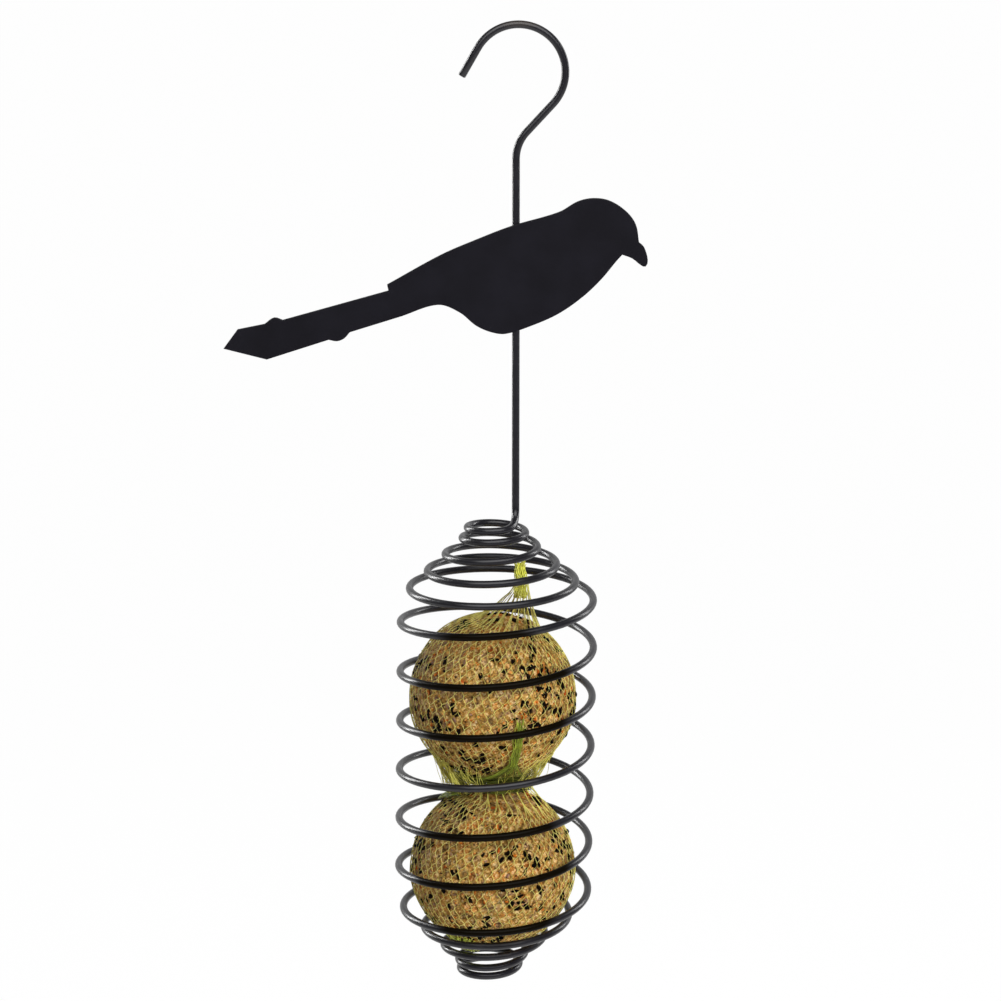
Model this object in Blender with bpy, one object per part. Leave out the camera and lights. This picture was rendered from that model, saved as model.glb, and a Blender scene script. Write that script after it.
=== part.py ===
"""Hanging suet feeder, made from one bent wire, a flat bird and two suet balls in nets.

The wire starts as a hook, runs down as a straight stem and winds into a coiled
cage: a few small closed turns, a widening dome, an open barrel and a bottom that
draws in again.  The flat bird is tack welded to the front of the stem.  The cage is
a soft spring, so its turns pull apart by hand to let the balls in.

Metres, +Z up.  The origin is the inside of the hook's crown, where the feeder hangs.
The bird faces +X, and -Y is the front.
"""

import math

import bmesh
import bpy
import numpy as np
from mathutils import Matrix, Vector

# Clearances
PIECE_GAP = 0.0003
CUT_OVERRUN = 0.002

# Wire
WIRE_DIAMETER = 0.0028
WIRE_RADIUS = WIRE_DIAMETER / 2
ROD_BEVEL_RESOLUTION = 2
COIL_BEVEL_RESOLUTION = 1

# Hook, slanting shank and stem
HOOK_INSIDE_RADIUS = 0.0154
HOOK_TIP_STRAIGHT = 0.0115
HOOK_TIP_ANGLE = math.radians(150)
SHANK_SLANT = math.radians(43)
SHANK_BEND_RADIUS = 0.0140
HOOK_OVER_STEM = 0.0008
STEM_LENGTH = 0.1340
FOOT_BEND_DROP = 0.0073
HOOK_STEPS = 20
BEND_STEPS = 6

# Suet balls and their nets
BALL_DIAMETER = 0.0616
BALL_RADIUS = BALL_DIAMETER / 2
BALL_SEGMENTS = 32
BALL_RINGS = 16
NET_STRAND = 0.0008
NET_COLUMNS = 14
NET_ROWS = 11
NET_TILT = math.radians(17)
NET_NECK_RADIUS = 0.0052
BUNCH_THICKNESS = 0.0034

# A straight net strand dips below the round net between two knots, so the net stands off the ball
STRAND_WIDTH = math.pi * BALL_RADIUS / NET_COLUMNS
STRAND_HEIGHT = math.pi * BALL_RADIUS / (NET_ROWS + 1)
STRAND_SAG = (STRAND_WIDTH**2 + STRAND_HEIGHT**2) / (8 * BALL_RADIUS)
NET_RADIUS = BALL_RADIUS + PIECE_GAP + STRAND_SAG + NET_STRAND / 2
NET_OUTSIDE = NET_RADIUS + NET_STRAND / 2
BALL_SPACING = 2 * NET_OUTSIDE + BUNCH_THICKNESS

# Coiled cage: the stem's distance from the coil's axis, then radii, pitches and turns.  The barrel
# goes round the netted balls with room to spare and is a share of their spacing high; the bowl
# under them is a share of their radius.  The hand-wound coil leans to the right in its dome and
# drifts to the left on its way down from there, and the balls settle part of the way after it
STEM_OFFSET = 0.0075
DOME_DRIFT = -0.0008
BARREL_DRIFT = 0.0010
FOOT_DRIFT = 0.0024
SETTLE_SHARE = 0.45
HEAD_START_RADIUS = 0.0100
HEAD_RADIUS = 0.0120
BALL_ROOM = 0.00245
BARREL_RADIUS = NET_OUTSIDE + BALL_ROOM + WIRE_RADIUS
BOWL_SHARE = 0.65
BOWL_RADIUS = BOWL_SHARE * NET_OUTSIDE
FOOT_RADIUS = 0.0120
FOOT_END_RADIUS = 0.0110
HEAD_PITCH = 0.0039
DOME_PITCH = 0.0065
BOWL_PITCH = 0.0080
NECK_PITCH = 0.0074
FOOT_PITCH = 0.0036
HEAD_TURNS = 1.25
DOME_TURNS = 3.5
BARREL_TURNS = 6.25
BARREL_SHARE = 1.766
BARREL_PITCH = BARREL_SHARE * BALL_SPACING / BARREL_TURNS
BOWL_TURNS = 1.75
NECK_TURNS = 1.25
FOOT_TURNS = 1.5
CORNER_TURNS = 0.5
POINTS_PER_TURN = 24

# Where the one wire is divided between the pieces that move: the spring ends inside the bowl
SPRING_START_TURN = HEAD_TURNS
SPRING_BOWL_TURNS = 0.75
FOOT_START_TURN = HEAD_TURNS + DOME_TURNS + BARREL_TURNS + SPRING_BOWL_TURNS
SEAT_STEPS = 4 * POINTS_PER_TURN

# Gathered ends of the nets
TIE_PLEATS = 8
PLEAT_POINTS = 4
TIE_PLEAT_SHARE = 0.22
TIE_FLARE_RADIUS = 0.0042
FOOT_FLARE_RADIUS = 0.0024
TOP_TAIL_LENGTH = 0.0135
FOOT_TAIL_LENGTH = 0.0036
TIE_HEIGHT_SHARES = (0.00, 0.10, 0.28, 0.42, 0.62, 0.84, 1.00)
TIE_RADIUS_SHARES = (0.88, 0.72, 0.40, 0.40, 0.66, 0.90, 1.00)
SIDE_TAIL_WIDTH = 0.0076
SIDE_TAIL_START = math.radians(24)
SIDE_TAIL_END = math.radians(58)
SIDE_TAIL_STEPS = 7
TOP_TAIL_SWEEP = math.radians(-72)
HIDDEN_TAIL_SWEEP = math.radians(-50)

# Bird
BIRD_LENGTH = 0.1543
BIRD_HEIGHT = 0.0590
BIRD_THICKNESS = 0.0016
BIRD_TAIL_TO_STEM = 0.1066
BIRD_FOOT_ABOVE_COIL = 0.0556
BIRD_RIM = 0.0002
ROUND_STEPS = 4

# Tack welds
WELD_LENGTH = 0.0070
WELD_WIDTH = 0.0068
WELD_HEIGHT = 0.0042
WELD_INSET = 0.0055
WELD_SEGMENTS = 20
WELD_RINGS = 10
WIRE_WAY_SEGMENTS = 24

# Outline of the bird, clockwise from the tail: shares of its length and height, and whether
# the outline runs round there or has a corner
ROUND = True
CORNER = False
BIRD_OUTLINE_SHARES = (
    (0.000, 0.068, CORNER),
    (0.034, 0.188, CORNER),
    (0.098, 0.222, CORNER),
    (0.121, 0.262, ROUND),
    (0.141, 0.247, CORNER),
    (0.391, 0.430, CORNER),
    (0.388, 0.468, CORNER),
    (0.515, 0.652, ROUND),
    (0.598, 0.746, ROUND),
    (0.680, 0.829, ROUND),
    (0.791, 0.915, ROUND),
    (0.835, 0.980, ROUND),
    (0.871, 1.000, ROUND),
    (0.909, 0.985, ROUND),
    (0.948, 0.920, ROUND),
    (0.971, 0.840, ROUND),
    (0.979, 0.729, CORNER),
    (0.991, 0.700, ROUND),
    (1.000, 0.620, ROUND),
    (0.995, 0.580, ROUND),
    (0.983, 0.590, ROUND),
    (0.964, 0.629, ROUND),
    (0.940, 0.653, CORNER),
    (0.926, 0.612, ROUND),
    (0.892, 0.503, ROUND),
    (0.848, 0.392, ROUND),
    (0.790, 0.285, ROUND),
    (0.723, 0.207, ROUND),
    (0.666, 0.161, ROUND),
    (0.633, 0.171, ROUND),
    (0.597, 0.212, ROUND),
    (0.558, 0.295, ROUND),
    (0.507, 0.342, ROUND),
    (0.419, 0.269, CORNER),
    (0.299, 0.171, CORNER),
    (0.285, 0.131, ROUND),
    (0.268, 0.115, ROUND),
    (0.249, 0.124, CORNER),
    (0.102, 0.000, CORNER),
)

# Places worked out from the sizes
HOOK_RADIUS = HOOK_INSIDE_RADIUS + WIRE_RADIUS
HOOK_CENTRE = Vector((0, 0, -HOOK_INSIDE_RADIUS))
STEM_X = -HOOK_OVER_STEM
COIL_X = STEM_X - STEM_OFFSET
BALL_X = COIL_X - SETTLE_SHARE * FOOT_DRIFT


def clear_scene():
    """Start from an empty scene."""
    for item in list(bpy.data.objects):
        bpy.data.objects.remove(item, do_unlink=True)


def new_material(name, colour, roughness, metallic):
    """A plain Principled material with the piece's own colour."""
    material = bpy.data.materials.new(name)
    material.use_nodes = True
    shader = material.node_tree.nodes["Principled BSDF"]
    shader.inputs["Base Color"].default_value = (*colour, 1)
    shader.inputs["Roughness"].default_value = roughness
    shader.inputs["Metallic"].default_value = metallic
    return material


def new_object(name, data, material):
    """Link an object that holds this mesh or curve, wearing this material."""
    item = bpy.data.objects.new(name, data)
    item.data.materials.append(material)
    bpy.context.scene.collection.objects.link(item)
    return item


def mesh_from(name, build):
    """Make a mesh from a bmesh that the build function fills, with its faces turned out."""
    shape = bmesh.new()
    build(shape)
    bmesh.ops.recalc_face_normals(shape, faces=shape.faces)
    mesh = bpy.data.meshes.new(name)
    shape.to_mesh(mesh)
    shape.free()
    return mesh


def empty(name, place):
    """An unseen holder that stands on a joint's axis."""
    item = bpy.data.objects.new(name, None)
    item.location = place
    bpy.context.scene.collection.objects.link(item)
    return item


def hang_on(item, parent):
    """Parent an object and keep it where it is."""
    bpy.context.view_layer.update()
    item.parent = parent
    item.matrix_parent_inverse = parent.matrix_world.inverted()


def tube(name, points, material, bevel_resolution):
    """A wire of the feeder's diameter along these points, with flat cut ends."""
    curve = bpy.data.curves.new(name, "CURVE")
    curve.dimensions = "3D"
    curve.bevel_depth = WIRE_RADIUS
    curve.bevel_resolution = bevel_resolution
    curve.use_fill_caps = True
    spline = curve.splines.new("POLY")
    spline.points.add(len(points) - 1)
    for slot, point in zip(spline.points, points):
        slot.co = (*point, 1)
    return new_object(name, curve, material)


def along(start, end, steps):
    """Evenly spaced numbers from start to end, both included."""
    return [start + (end - start) * step / steps for step in range(steps + 1)]


def bow_point(angle):
    """A point of the hook's round bow, by its angle above +X."""
    return HOOK_CENTRE + HOOK_RADIUS * Vector((math.cos(angle), 0, math.sin(angle)))


def hook_points():
    """Centreline of the hook and slanting shank, from the tip to the top of the stem."""
    tip_run = Vector((math.sin(HOOK_TIP_ANGLE), 0, -math.cos(HOOK_TIP_ANGLE)))
    points = [bow_point(HOOK_TIP_ANGLE) - HOOK_TIP_STRAIGHT * tip_run]
    points += [bow_point(angle) for angle in along(HOOK_TIP_ANGLE, -SHANK_SLANT, HOOK_STEPS)]
    centre = Vector((STEM_X + SHANK_BEND_RADIUS, 0, shank_corner().z - bend_reach()))
    for angle in along(math.pi - SHANK_SLANT, math.pi, BEND_STEPS):
        points.append(centre + SHANK_BEND_RADIUS * Vector((math.cos(angle), 0, math.sin(angle))))
    return points


def slant_run():
    """Direction of the slanting shank, down and back towards the stem."""
    return Vector((-math.sin(SHANK_SLANT), 0, -math.cos(SHANK_SLANT)))


def bend_reach():
    """How far the bend between shank and stem reaches from their corner."""
    return SHANK_BEND_RADIUS * math.tan(SHANK_SLANT / 2)


def shank_corner():
    """Where the slanting shank's line meets the stem's line."""
    start = bow_point(-SHANK_SLANT)
    return start + slant_run() * (start.x - STEM_X) / math.sin(SHANK_SLANT)


def stem_foot():
    """Lower end of the straight stem."""
    return Vector((STEM_X, 0, shank_corner().z - STEM_LENGTH))


COIL_TURNS = (0, HEAD_TURNS, DOME_TURNS, BARREL_TURNS, BOWL_TURNS, NECK_TURNS, FOOT_TURNS)
COIL_STATIONS = np.cumsum(COIL_TURNS)
COIL_RADII = (
    HEAD_START_RADIUS,
    HEAD_RADIUS,
    BARREL_RADIUS,
    BARREL_RADIUS,
    BOWL_RADIUS,
    FOOT_RADIUS,
    FOOT_END_RADIUS,
)
COIL_PITCHES = (0, HEAD_PITCH, DOME_PITCH, BARREL_PITCH, BOWL_PITCH, NECK_PITCH, FOOT_PITCH)
COIL_DROPS = np.cumsum(np.multiply(COIL_TURNS, COIL_PITCHES))
COIL_DRIFTS = (0, 0, DOME_DRIFT, BARREL_DRIFT, FOOT_DRIFT, FOOT_DRIFT, FOOT_DRIFT)
COIL_TOP = stem_foot().z - FOOT_BEND_DROP
COIL_END_TURN = float(COIL_STATIONS[-1])


def eased(turn, values):
    """Read values that change at a steady rate between stations, with the corners rounded."""
    reach = max(0, min(CORNER_TURNS / 2, turn, COIL_END_TURN - turn))
    window = np.linspace(turn - reach, turn + reach, POINTS_PER_TURN)
    return float(np.mean(np.interp(window, COIL_STATIONS, values)))


def coil_point(turn):
    """Centre of the wire after this many turns: it starts at the front and winds down by the left."""
    angle = -math.pi / 2 - 2 * math.pi * turn
    radius = eased(turn, COIL_RADII)
    middle = COIL_X - eased(turn, COIL_DRIFTS)
    height = COIL_TOP - eased(turn, COIL_DROPS)
    return Vector((middle + radius * math.cos(angle), radius * math.sin(angle), height))


def coil_run(turn):
    """Direction of the wire after this many turns."""
    step = 1 / (POINTS_PER_TURN * POINTS_PER_TURN)
    before = coil_point(max(0, turn - step))
    after = coil_point(min(COIL_END_TURN, turn + step))
    return (after - before).normalized()


def cut_ends(turn, way):
    """The straight end of a wire beside a cut, for one wire diameter, on one side of the cut."""
    place = coil_point(turn)
    run = coil_run(turn) * way
    near = place + run * PIECE_GAP / 2
    return [near, near + run * WIRE_DIAMETER]


def turns_of_cut(turn):
    """Share of a turn that the straight end beside a cut takes, with room to curve on."""
    radius = eased(turn, COIL_RADII)
    return (PIECE_GAP / 2 + 2 * WIRE_DIAMETER) / (2 * math.pi * radius)


def winding(start, end, cut_start, cut_end):
    """Points of the coil between two turns, with a straight end where the wire is cut."""
    first = start + turns_of_cut(start) if cut_start else start
    last = end - turns_of_cut(end) if cut_end else end
    steps = round((last - first) * POINTS_PER_TURN)
    points = [coil_point(turn) for turn in along(first, last, steps)]
    if cut_start:
        points = cut_ends(start, 1) + points
    if cut_end:
        points = points + cut_ends(end, -1)[::-1]
    return points


def foot_bend_points():
    """The smooth bend from the stem's foot round to the first small turn."""
    start = stem_foot()
    end = coil_point(0)
    leave = start - Vector((0, 0, FOOT_BEND_DROP))
    arrive = end - coil_run(0) * FOOT_BEND_DROP
    points = []
    for share in along(0, 1, BEND_STEPS)[:-1]:
        rest = 1 - share
        point = rest**3 * start + 3 * rest**2 * share * leave
        points.append(point + 3 * rest * share**2 * arrive + share**3 * end)
    return points


def least_gap(points):
    """Least gap of a wound wire to itself, measured between points over half a turn apart."""
    places = np.array(points)
    skip = POINTS_PER_TURN // 2
    nearest = min(
        np.linalg.norm(places[index + skip:] - places[index], axis=1).min()
        for index in range(len(places) - skip)
    )
    return nearest - WIRE_DIAMETER


def hook_and_stem(material):
    """Hook, slanting shank, stem, the bend at its foot and the small closed turns."""
    points = hook_points() + foot_bend_points() + winding(0, SPRING_START_TURN, False, True)
    return tube("hook_and_stem", points, material, ROD_BEVEL_RESOLUTION)


def cage_spring(material):
    """The turns that stretch: the widening dome and the open barrel."""
    points = winding(SPRING_START_TURN, FOOT_START_TURN, True, True)
    print("cage_spring: least gap to itself", round(least_gap(points) * 1000, 2), "mm")
    return tube("cage_spring", points, material, COIL_BEVEL_RESOLUTION)


def cage_foot(material):
    """The last turns, which draw in under the lower ball and end in a plain cut."""
    points = winding(FOOT_START_TURN, COIL_END_TURN, True, False)
    print("cage_foot: least gap to itself", round(least_gap(points) * 1000, 2), "mm")
    item = tube("cage_foot", points, material, COIL_BEVEL_RESOLUTION)
    hang_on(item, empty("cage_stretch_axis", (COIL_X, 0, COIL_TOP)))
    return item


def lower_ball_height():
    """Height at which the netted ball rests on the turns that draw in under it."""
    reach = NET_OUTSIDE + PIECE_GAP + WIRE_RADIUS
    seats = []
    for turn in along(FOOT_START_TURN, COIL_END_TURN, SEAT_STEPS):
        place = coil_point(turn)
        aside = math.hypot(place.x - BALL_X, place.y)
        if aside < reach:
            seats.append(place.z + math.sqrt(reach**2 - aside**2))
    return max(seats)


LOWER_CENTRE = Vector((BALL_X, 0, lower_ball_height()))
UPPER_CENTRE = LOWER_CENTRE + Vector((0, 0, BALL_SPACING))


def suet_ball(name, centre, material):
    """A pressed ball of suet."""
    def build(shape):
        bmesh.ops.create_uvsphere(
            shape, u_segments=BALL_SEGMENTS, v_segments=BALL_RINGS, radius=BALL_RADIUS)

    mesh = mesh_from(name, build)
    mesh.shade_smooth()
    item = new_object(name, mesh, material)
    item.location = centre
    return item


def net_turn():
    """The lean of a net's gathered ends: the top end leans to the right."""
    return Matrix.Rotation(NET_TILT, 4, "Y")


def net_bag(name, centre, material):
    """The net round a ball: rows of diamonds between two gathered ends."""
    neck_angle = math.asin(NET_NECK_RADIUS / NET_RADIUS)
    rows = along(neck_angle, math.pi - neck_angle, NET_ROWS)

    def knot(column, row):
        turn = 2 * math.pi * (column + row / 2) / NET_COLUMNS
        ring = NET_RADIUS * math.sin(rows[row])
        return Vector((ring * math.cos(turn), ring * math.sin(turn), NET_RADIUS * math.cos(rows[row])))

    def build(shape):
        knots = []
        for row in range(NET_ROWS + 1):
            knots.append([shape.verts.new(knot(column, row)) for column in range(NET_COLUMNS)])
        for row in range(1, NET_ROWS):
            above, level, below = knots[row - 1], knots[row], knots[row + 1]
            for column in range(NET_COLUMNS):
                left = level[column]
                right = level[(column + 1) % NET_COLUMNS]
                top = above[(column + 1) % NET_COLUMNS]
                bottom = below[column]
                shape.faces.new((left, bottom, right, top))

    item = new_object(name, mesh_from(name, build), material)
    item.location = centre
    item.rotation_euler = net_turn().to_euler()
    strands = item.modifiers.new("strands", "WIREFRAME")
    strands.thickness = NET_STRAND
    strands.use_boundary = True
    strands.use_even_offset = True
    return item


def loft(name, sections, material):
    """A closed body through these rings of points, which all have the same count."""
    def build(shape):
        rings = [[shape.verts.new(point) for point in section] for section in sections]
        count = len(rings[0])
        for upper, lower in zip(rings, rings[1:]):
            for index in range(count):
                follow = (index + 1) % count
                shape.faces.new((upper[index], upper[follow], lower[follow], lower[index]))
        shape.faces.new(rings[0][::-1])
        shape.faces.new(rings[-1])
    mesh = mesh_from(name, build)
    mesh.shade_smooth()
    return new_object(name, mesh, material)


def pleated_ring(place, across, aside, half_depth, half_width):
    """A ring of pleats round a place, spread along two directions."""
    ring = []
    for step in range(TIE_PLEATS * PLEAT_POINTS):
        angle = 2 * math.pi * step / (TIE_PLEATS * PLEAT_POINTS)
        pleat = 1 + TIE_PLEAT_SHARE * math.cos(angle * TIE_PLEATS)
        spread = across * half_depth * math.cos(angle) + aside * half_width * math.sin(angle)
        ring.append(place + pleat * spread)
    return ring


def tie_lean(end):
    """Direction in which a net's gathered end leaves its ball: end is 1 for the top, -1 for the foot."""
    return net_turn() @ Vector((0, 0, end))


def standing_tail(name, centre, end, length, flare, material):
    """A net's gathered end: pleats drawn in to a waist, then a flared tail that stands up or hangs."""
    lean = tie_lean(end)
    base = centre + lean * (BALL_RADIUS + PIECE_GAP)
    upright = Vector((0, 0, end))
    sections = []
    for height, width in zip(TIE_HEIGHT_SHARES, TIE_RADIUS_SHARES):
        place = base + length * (lean * height * (1 - height) + upright * height * height)
        run = (lean * (1 - height) + upright * height).normalized()
        aside = Vector((0, 1, 0))
        radius = flare * width
        sections.append(pleated_ring(place, aside.cross(run), aside, radius, radius))
    return loft(name, sections, material)


def pressed_tail(name, own, other, end, sweep, material):
    """A net's gathered end caught between the balls: it leaves its own ball and lies along the other one."""
    lean = tie_lean(end)
    root = own + lean * (BALL_RADIUS + PIECE_GAP)
    out = Vector((lean.x, lean.y, 0)).normalized()
    aside = lean.cross(out).normalized()
    foot = TIE_FLARE_RADIUS * TIE_RADIUS_SHARES[0]
    waist = TIE_FLARE_RADIUS * TIE_RADIUS_SHARES[2]
    sections = [
        pleated_ring(root, aside.cross(lean), aside, foot, foot),
        pleated_ring(root + lean * waist, aside.cross(lean), aside, waist, waist),
    ]
    start_azimuth = math.atan2(out.y, out.x)
    places = []
    for share in along(0, 1, SIDE_TAIL_STEPS):
        fall = SIDE_TAIL_START + (SIDE_TAIL_END - SIDE_TAIL_START) * share
        azimuth = start_azimuth + sweep * share
        flat = math.sin(fall)
        way = Vector((flat * math.cos(azimuth), flat * math.sin(azimuth), -end * math.cos(fall)))
        places.append(other + way * (NET_OUTSIDE + BUNCH_THICKNESS / 2))
    half_thickness = (BUNCH_THICKNESS / 2 - PIECE_GAP) / (1 + TIE_PLEAT_SHARE)
    for index, place in enumerate(places):
        run = places[min(index + 1, SIDE_TAIL_STEPS)] - places[max(index - 1, 0)]
        away = (place - other).normalized()
        across = run.cross(away).normalized()
        width = waist + (SIDE_TAIL_WIDTH / 2 - waist) * index / SIDE_TAIL_STEPS
        sections.append(pleated_ring(place, away, across, half_thickness, width))
    return loft(name, sections, material)


def bird_point(shares):
    """A point of the bird's outline, in the XZ plane of the plate."""
    length_share, height_share = shares
    x = STEM_X - BIRD_TAIL_TO_STEM + BIRD_LENGTH * length_share
    z = stem_foot().z + BIRD_FOOT_ABOVE_COIL + BIRD_HEIGHT * height_share
    return Vector((x, 0, z))


def bird_outline():
    """The bird's outline: round points joined by smooth curves, corners left sharp."""
    places = [bird_point(shares[:2]) for shares in BIRD_OUTLINE_SHARES]
    rounds = [shares[2] for shares in BIRD_OUTLINE_SHARES]
    count = len(places)
    outline = []
    for index in range(count):
        follow = (index + 1) % count
        here, there = places[index], places[follow]
        reach = there - here
        leave = (there - places[index - 1]) / 2 if rounds[index] else reach
        arrive = (places[(follow + 1) % count] - here) / 2 if rounds[follow] else reach
        leave = leave.normalized() * reach.length
        arrive = arrive.normalized() * reach.length
        steps = ROUND_STEPS if rounds[index] or rounds[follow] else 1
        for share in along(0, 1, steps)[:-1]:
            rise = share * share * (3 - 2 * share)
            out = share * (1 - share) ** 2
            back = share * share * (1 - share)
            outline.append(here + reach * rise + leave * out - arrive * back)
    return outline


def bird_silhouette(material):
    """The flat bird, cut from sheet, with its rim slightly broken; its back lies against the stem."""
    back = -WIRE_RADIUS - PIECE_GAP

    def build(shape):
        corners = [shape.verts.new(point + Vector((0, back, 0))) for point in bird_outline()]
        face = shape.faces.new(corners)
        pushed = bmesh.ops.extrude_face_region(shape, geom=[face])
        moved = [item for item in pushed["geom"] if isinstance(item, bmesh.types.BMVert)]
        bmesh.ops.translate(shape, verts=moved, vec=Vector((0, -BIRD_THICKNESS, 0)))
        rim = [edge for edge in shape.edges if any(len(item.verts) > 4 for item in edge.link_faces)]
        bmesh.ops.bevel(shape, geom=rim, offset=BIRD_RIM, segments=1, affect="EDGES", clamp_overlap=True)

    return new_object("bird_silhouette", mesh_from("bird_silhouette", build), material)


def edge_heights_at_stem():
    """Where the stem's line crosses the bird's lower and upper edges."""
    outline = bird_outline()
    heights = []
    for here, there in zip(outline, outline[1:] + outline[:1]):
        if min(here.x, there.x) <= STEM_X < max(here.x, there.x):
            share = (STEM_X - here.x) / (there.x - here.x)
            heights.append(here.z + (there.z - here.z) * share)
    return min(heights), max(heights)


def cutter(name, mesh, place):
    """A guide that only cuts: it isn't part of the feeder."""
    item = bpy.data.objects.new(name, mesh)
    bpy.context.scene.collection.objects.link(item)
    item.location = place
    item.hide_render = True
    item.display_type = "WIRE"
    return item


def cut(item, tool):
    """Take the cutter's shape out of an object."""
    step = item.modifiers.new("cut", "BOOLEAN")
    step.operation = "DIFFERENCE"
    step.solver = "EXACT"
    step.object = tool


def tack_weld(name, height, material):
    """A weld bead on the back of the bird: a saddle over the stem, with the stem's way cut through."""
    seat = -WIRE_RADIUS

    def build(shape):
        bmesh.ops.create_uvsphere(shape, u_segments=WELD_SEGMENTS, v_segments=WELD_RINGS, radius=1)
        bmesh.ops.scale(shape, verts=shape.verts, vec=(WELD_WIDTH / 2, WELD_HEIGHT, WELD_LENGTH / 2))

    mesh = mesh_from(name, build)
    mesh.shade_smooth()
    item = new_object(name, mesh, material)
    item.location = (STEM_X, seat, height)

    def plate_side(shape):
        bmesh.ops.create_cube(shape, size=1)
        size = (2 * WELD_WIDTH, 2 * WELD_HEIGHT, 2 * WELD_LENGTH)
        bmesh.ops.scale(shape, verts=shape.verts, vec=size)

    def wire_way(shape):
        radius = WIRE_RADIUS + PIECE_GAP
        depth = WELD_LENGTH + CUT_OVERRUN
        bmesh.ops.create_cone(
            shape, cap_ends=True, segments=WIRE_WAY_SEGMENTS, radius1=radius, radius2=radius, depth=depth)

    plate_cut = mesh_from("plate_cut", plate_side)
    wire_cut = mesh_from("wire_cut", wire_way)
    cut(item, cutter(name + "_plate_cut", plate_cut, (STEM_X, seat - WELD_HEIGHT, height)))
    cut(item, cutter(name + "_wire_cut", wire_cut, (STEM_X, 0, height)))
    return item


def build_feeder():
    """Make every piece of the feeder."""
    clear_scene()
    wire = new_material("black_wire", (0.022, 0.022, 0.025), 0.42, 0.0)
    plate = new_material("black_plate", (0.020, 0.020, 0.022), 0.48, 0.0)
    weld = new_material("black_weld", (0.024, 0.024, 0.026), 0.50, 0.0)
    suet = new_material("pressed_suet", (0.46, 0.27, 0.12), 0.72, 0.0)
    net = new_material("yellow_green_net", (0.62, 0.72, 0.22), 0.45, 0.0)

    hook_and_stem(wire)
    cage_spring(wire)
    cage_foot(wire)
    bird_silhouette(plate)
    low_edge, high_edge = edge_heights_at_stem()
    tack_weld("upper_weld", high_edge - WELD_INSET, weld)
    tack_weld("lower_weld", low_edge + WELD_INSET, weld)

    lower_pieces = (
        suet_ball("lower_suet_ball", LOWER_CENTRE, suet),
        net_bag("lower_net_bag", LOWER_CENTRE, net),
        pressed_tail("lower_net_top_tie", LOWER_CENTRE, UPPER_CENTRE, 1, TOP_TAIL_SWEEP, net),
        standing_tail("lower_net_foot_tie", LOWER_CENTRE, -1, FOOT_TAIL_LENGTH, FOOT_FLARE_RADIUS, net),
    )
    upper_pieces = (
        suet_ball("upper_suet_ball", UPPER_CENTRE, suet),
        net_bag("upper_net_bag", UPPER_CENTRE, net),
        standing_tail("upper_net_top_tie", UPPER_CENTRE, 1, TOP_TAIL_LENGTH, TIE_FLARE_RADIUS, net),
        pressed_tail("upper_net_foot_tie", UPPER_CENTRE, LOWER_CENTRE, -1, HIDDEN_TAIL_SWEEP, net),
    )
    turning = empty("lower_ball_turn_axis", LOWER_CENTRE)
    lifting = empty("upper_ball_lift_axis", UPPER_CENTRE)
    for item in lower_pieces:
        hang_on(item, turning)
    for item in upper_pieces:
        hang_on(item, lifting)


build_feeder()
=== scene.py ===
"""Looks of the hanging suet feeder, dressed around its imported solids.

One black wire makes the hook, the stem and the coiled cage.  A flat bird is welded to the
stem, and two netted suet balls stand in the cage.  Metres, +Z up; the origin is the inside
of the hook's crown, the bird faces +X and -Y is the front.
"""

import itertools
import math

import bpy
import numpy as np
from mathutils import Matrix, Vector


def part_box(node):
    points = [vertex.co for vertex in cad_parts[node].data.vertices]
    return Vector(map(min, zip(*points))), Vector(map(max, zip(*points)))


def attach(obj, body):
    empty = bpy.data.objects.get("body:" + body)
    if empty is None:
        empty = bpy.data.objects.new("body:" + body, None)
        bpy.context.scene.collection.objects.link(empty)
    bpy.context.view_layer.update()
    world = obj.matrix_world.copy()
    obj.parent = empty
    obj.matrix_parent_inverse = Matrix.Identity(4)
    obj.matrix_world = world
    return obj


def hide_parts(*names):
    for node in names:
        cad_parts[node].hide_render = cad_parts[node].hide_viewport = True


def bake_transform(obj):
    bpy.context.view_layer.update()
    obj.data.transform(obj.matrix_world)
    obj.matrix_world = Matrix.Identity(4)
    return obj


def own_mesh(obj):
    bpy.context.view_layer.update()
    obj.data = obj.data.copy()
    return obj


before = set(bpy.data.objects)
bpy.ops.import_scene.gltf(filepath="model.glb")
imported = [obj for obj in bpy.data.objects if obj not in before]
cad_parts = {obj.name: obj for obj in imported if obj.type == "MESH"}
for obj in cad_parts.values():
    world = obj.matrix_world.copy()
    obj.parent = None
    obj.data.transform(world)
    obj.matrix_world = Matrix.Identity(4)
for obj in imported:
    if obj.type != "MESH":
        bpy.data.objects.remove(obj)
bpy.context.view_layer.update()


# Camera, lamps and backdrop.  The camera looks down a little on the feeder's front, from about
# a metre.  Key, fill and back lamps light it without a gleam, three cards only gleam on its
# wire, and a pale sweep of paper runs from the floor up into the wall.

CAMERA_FOCUS_PIXELS = 2807
PICTURE_PIXELS = 1001
CAMERA_PITCH = math.radians(13.59)
CAMERA_DISTANCE = 1.0396
CAMERA_TARGET = np.array((-0.0064, 0.0, -0.1729))

camera_data = bpy.data.cameras.new("camera")
camera_data.sensor_width = 36
camera_data.lens = CAMERA_FOCUS_PIXELS * camera_data.sensor_width / PICTURE_PIXELS
camera = bpy.data.objects.new("camera", camera_data)
back_off = np.array((0, -math.cos(CAMERA_PITCH), math.sin(CAMERA_PITCH)))
camera.location = CAMERA_TARGET + CAMERA_DISTANCE * back_off
camera.rotation_euler = (math.pi / 2 - CAMERA_PITCH, 0, 0)
bpy.context.scene.collection.objects.link(camera)
bpy.context.scene.camera = camera
bpy.context.scene.view_settings.view_transform = "Standard"


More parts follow.
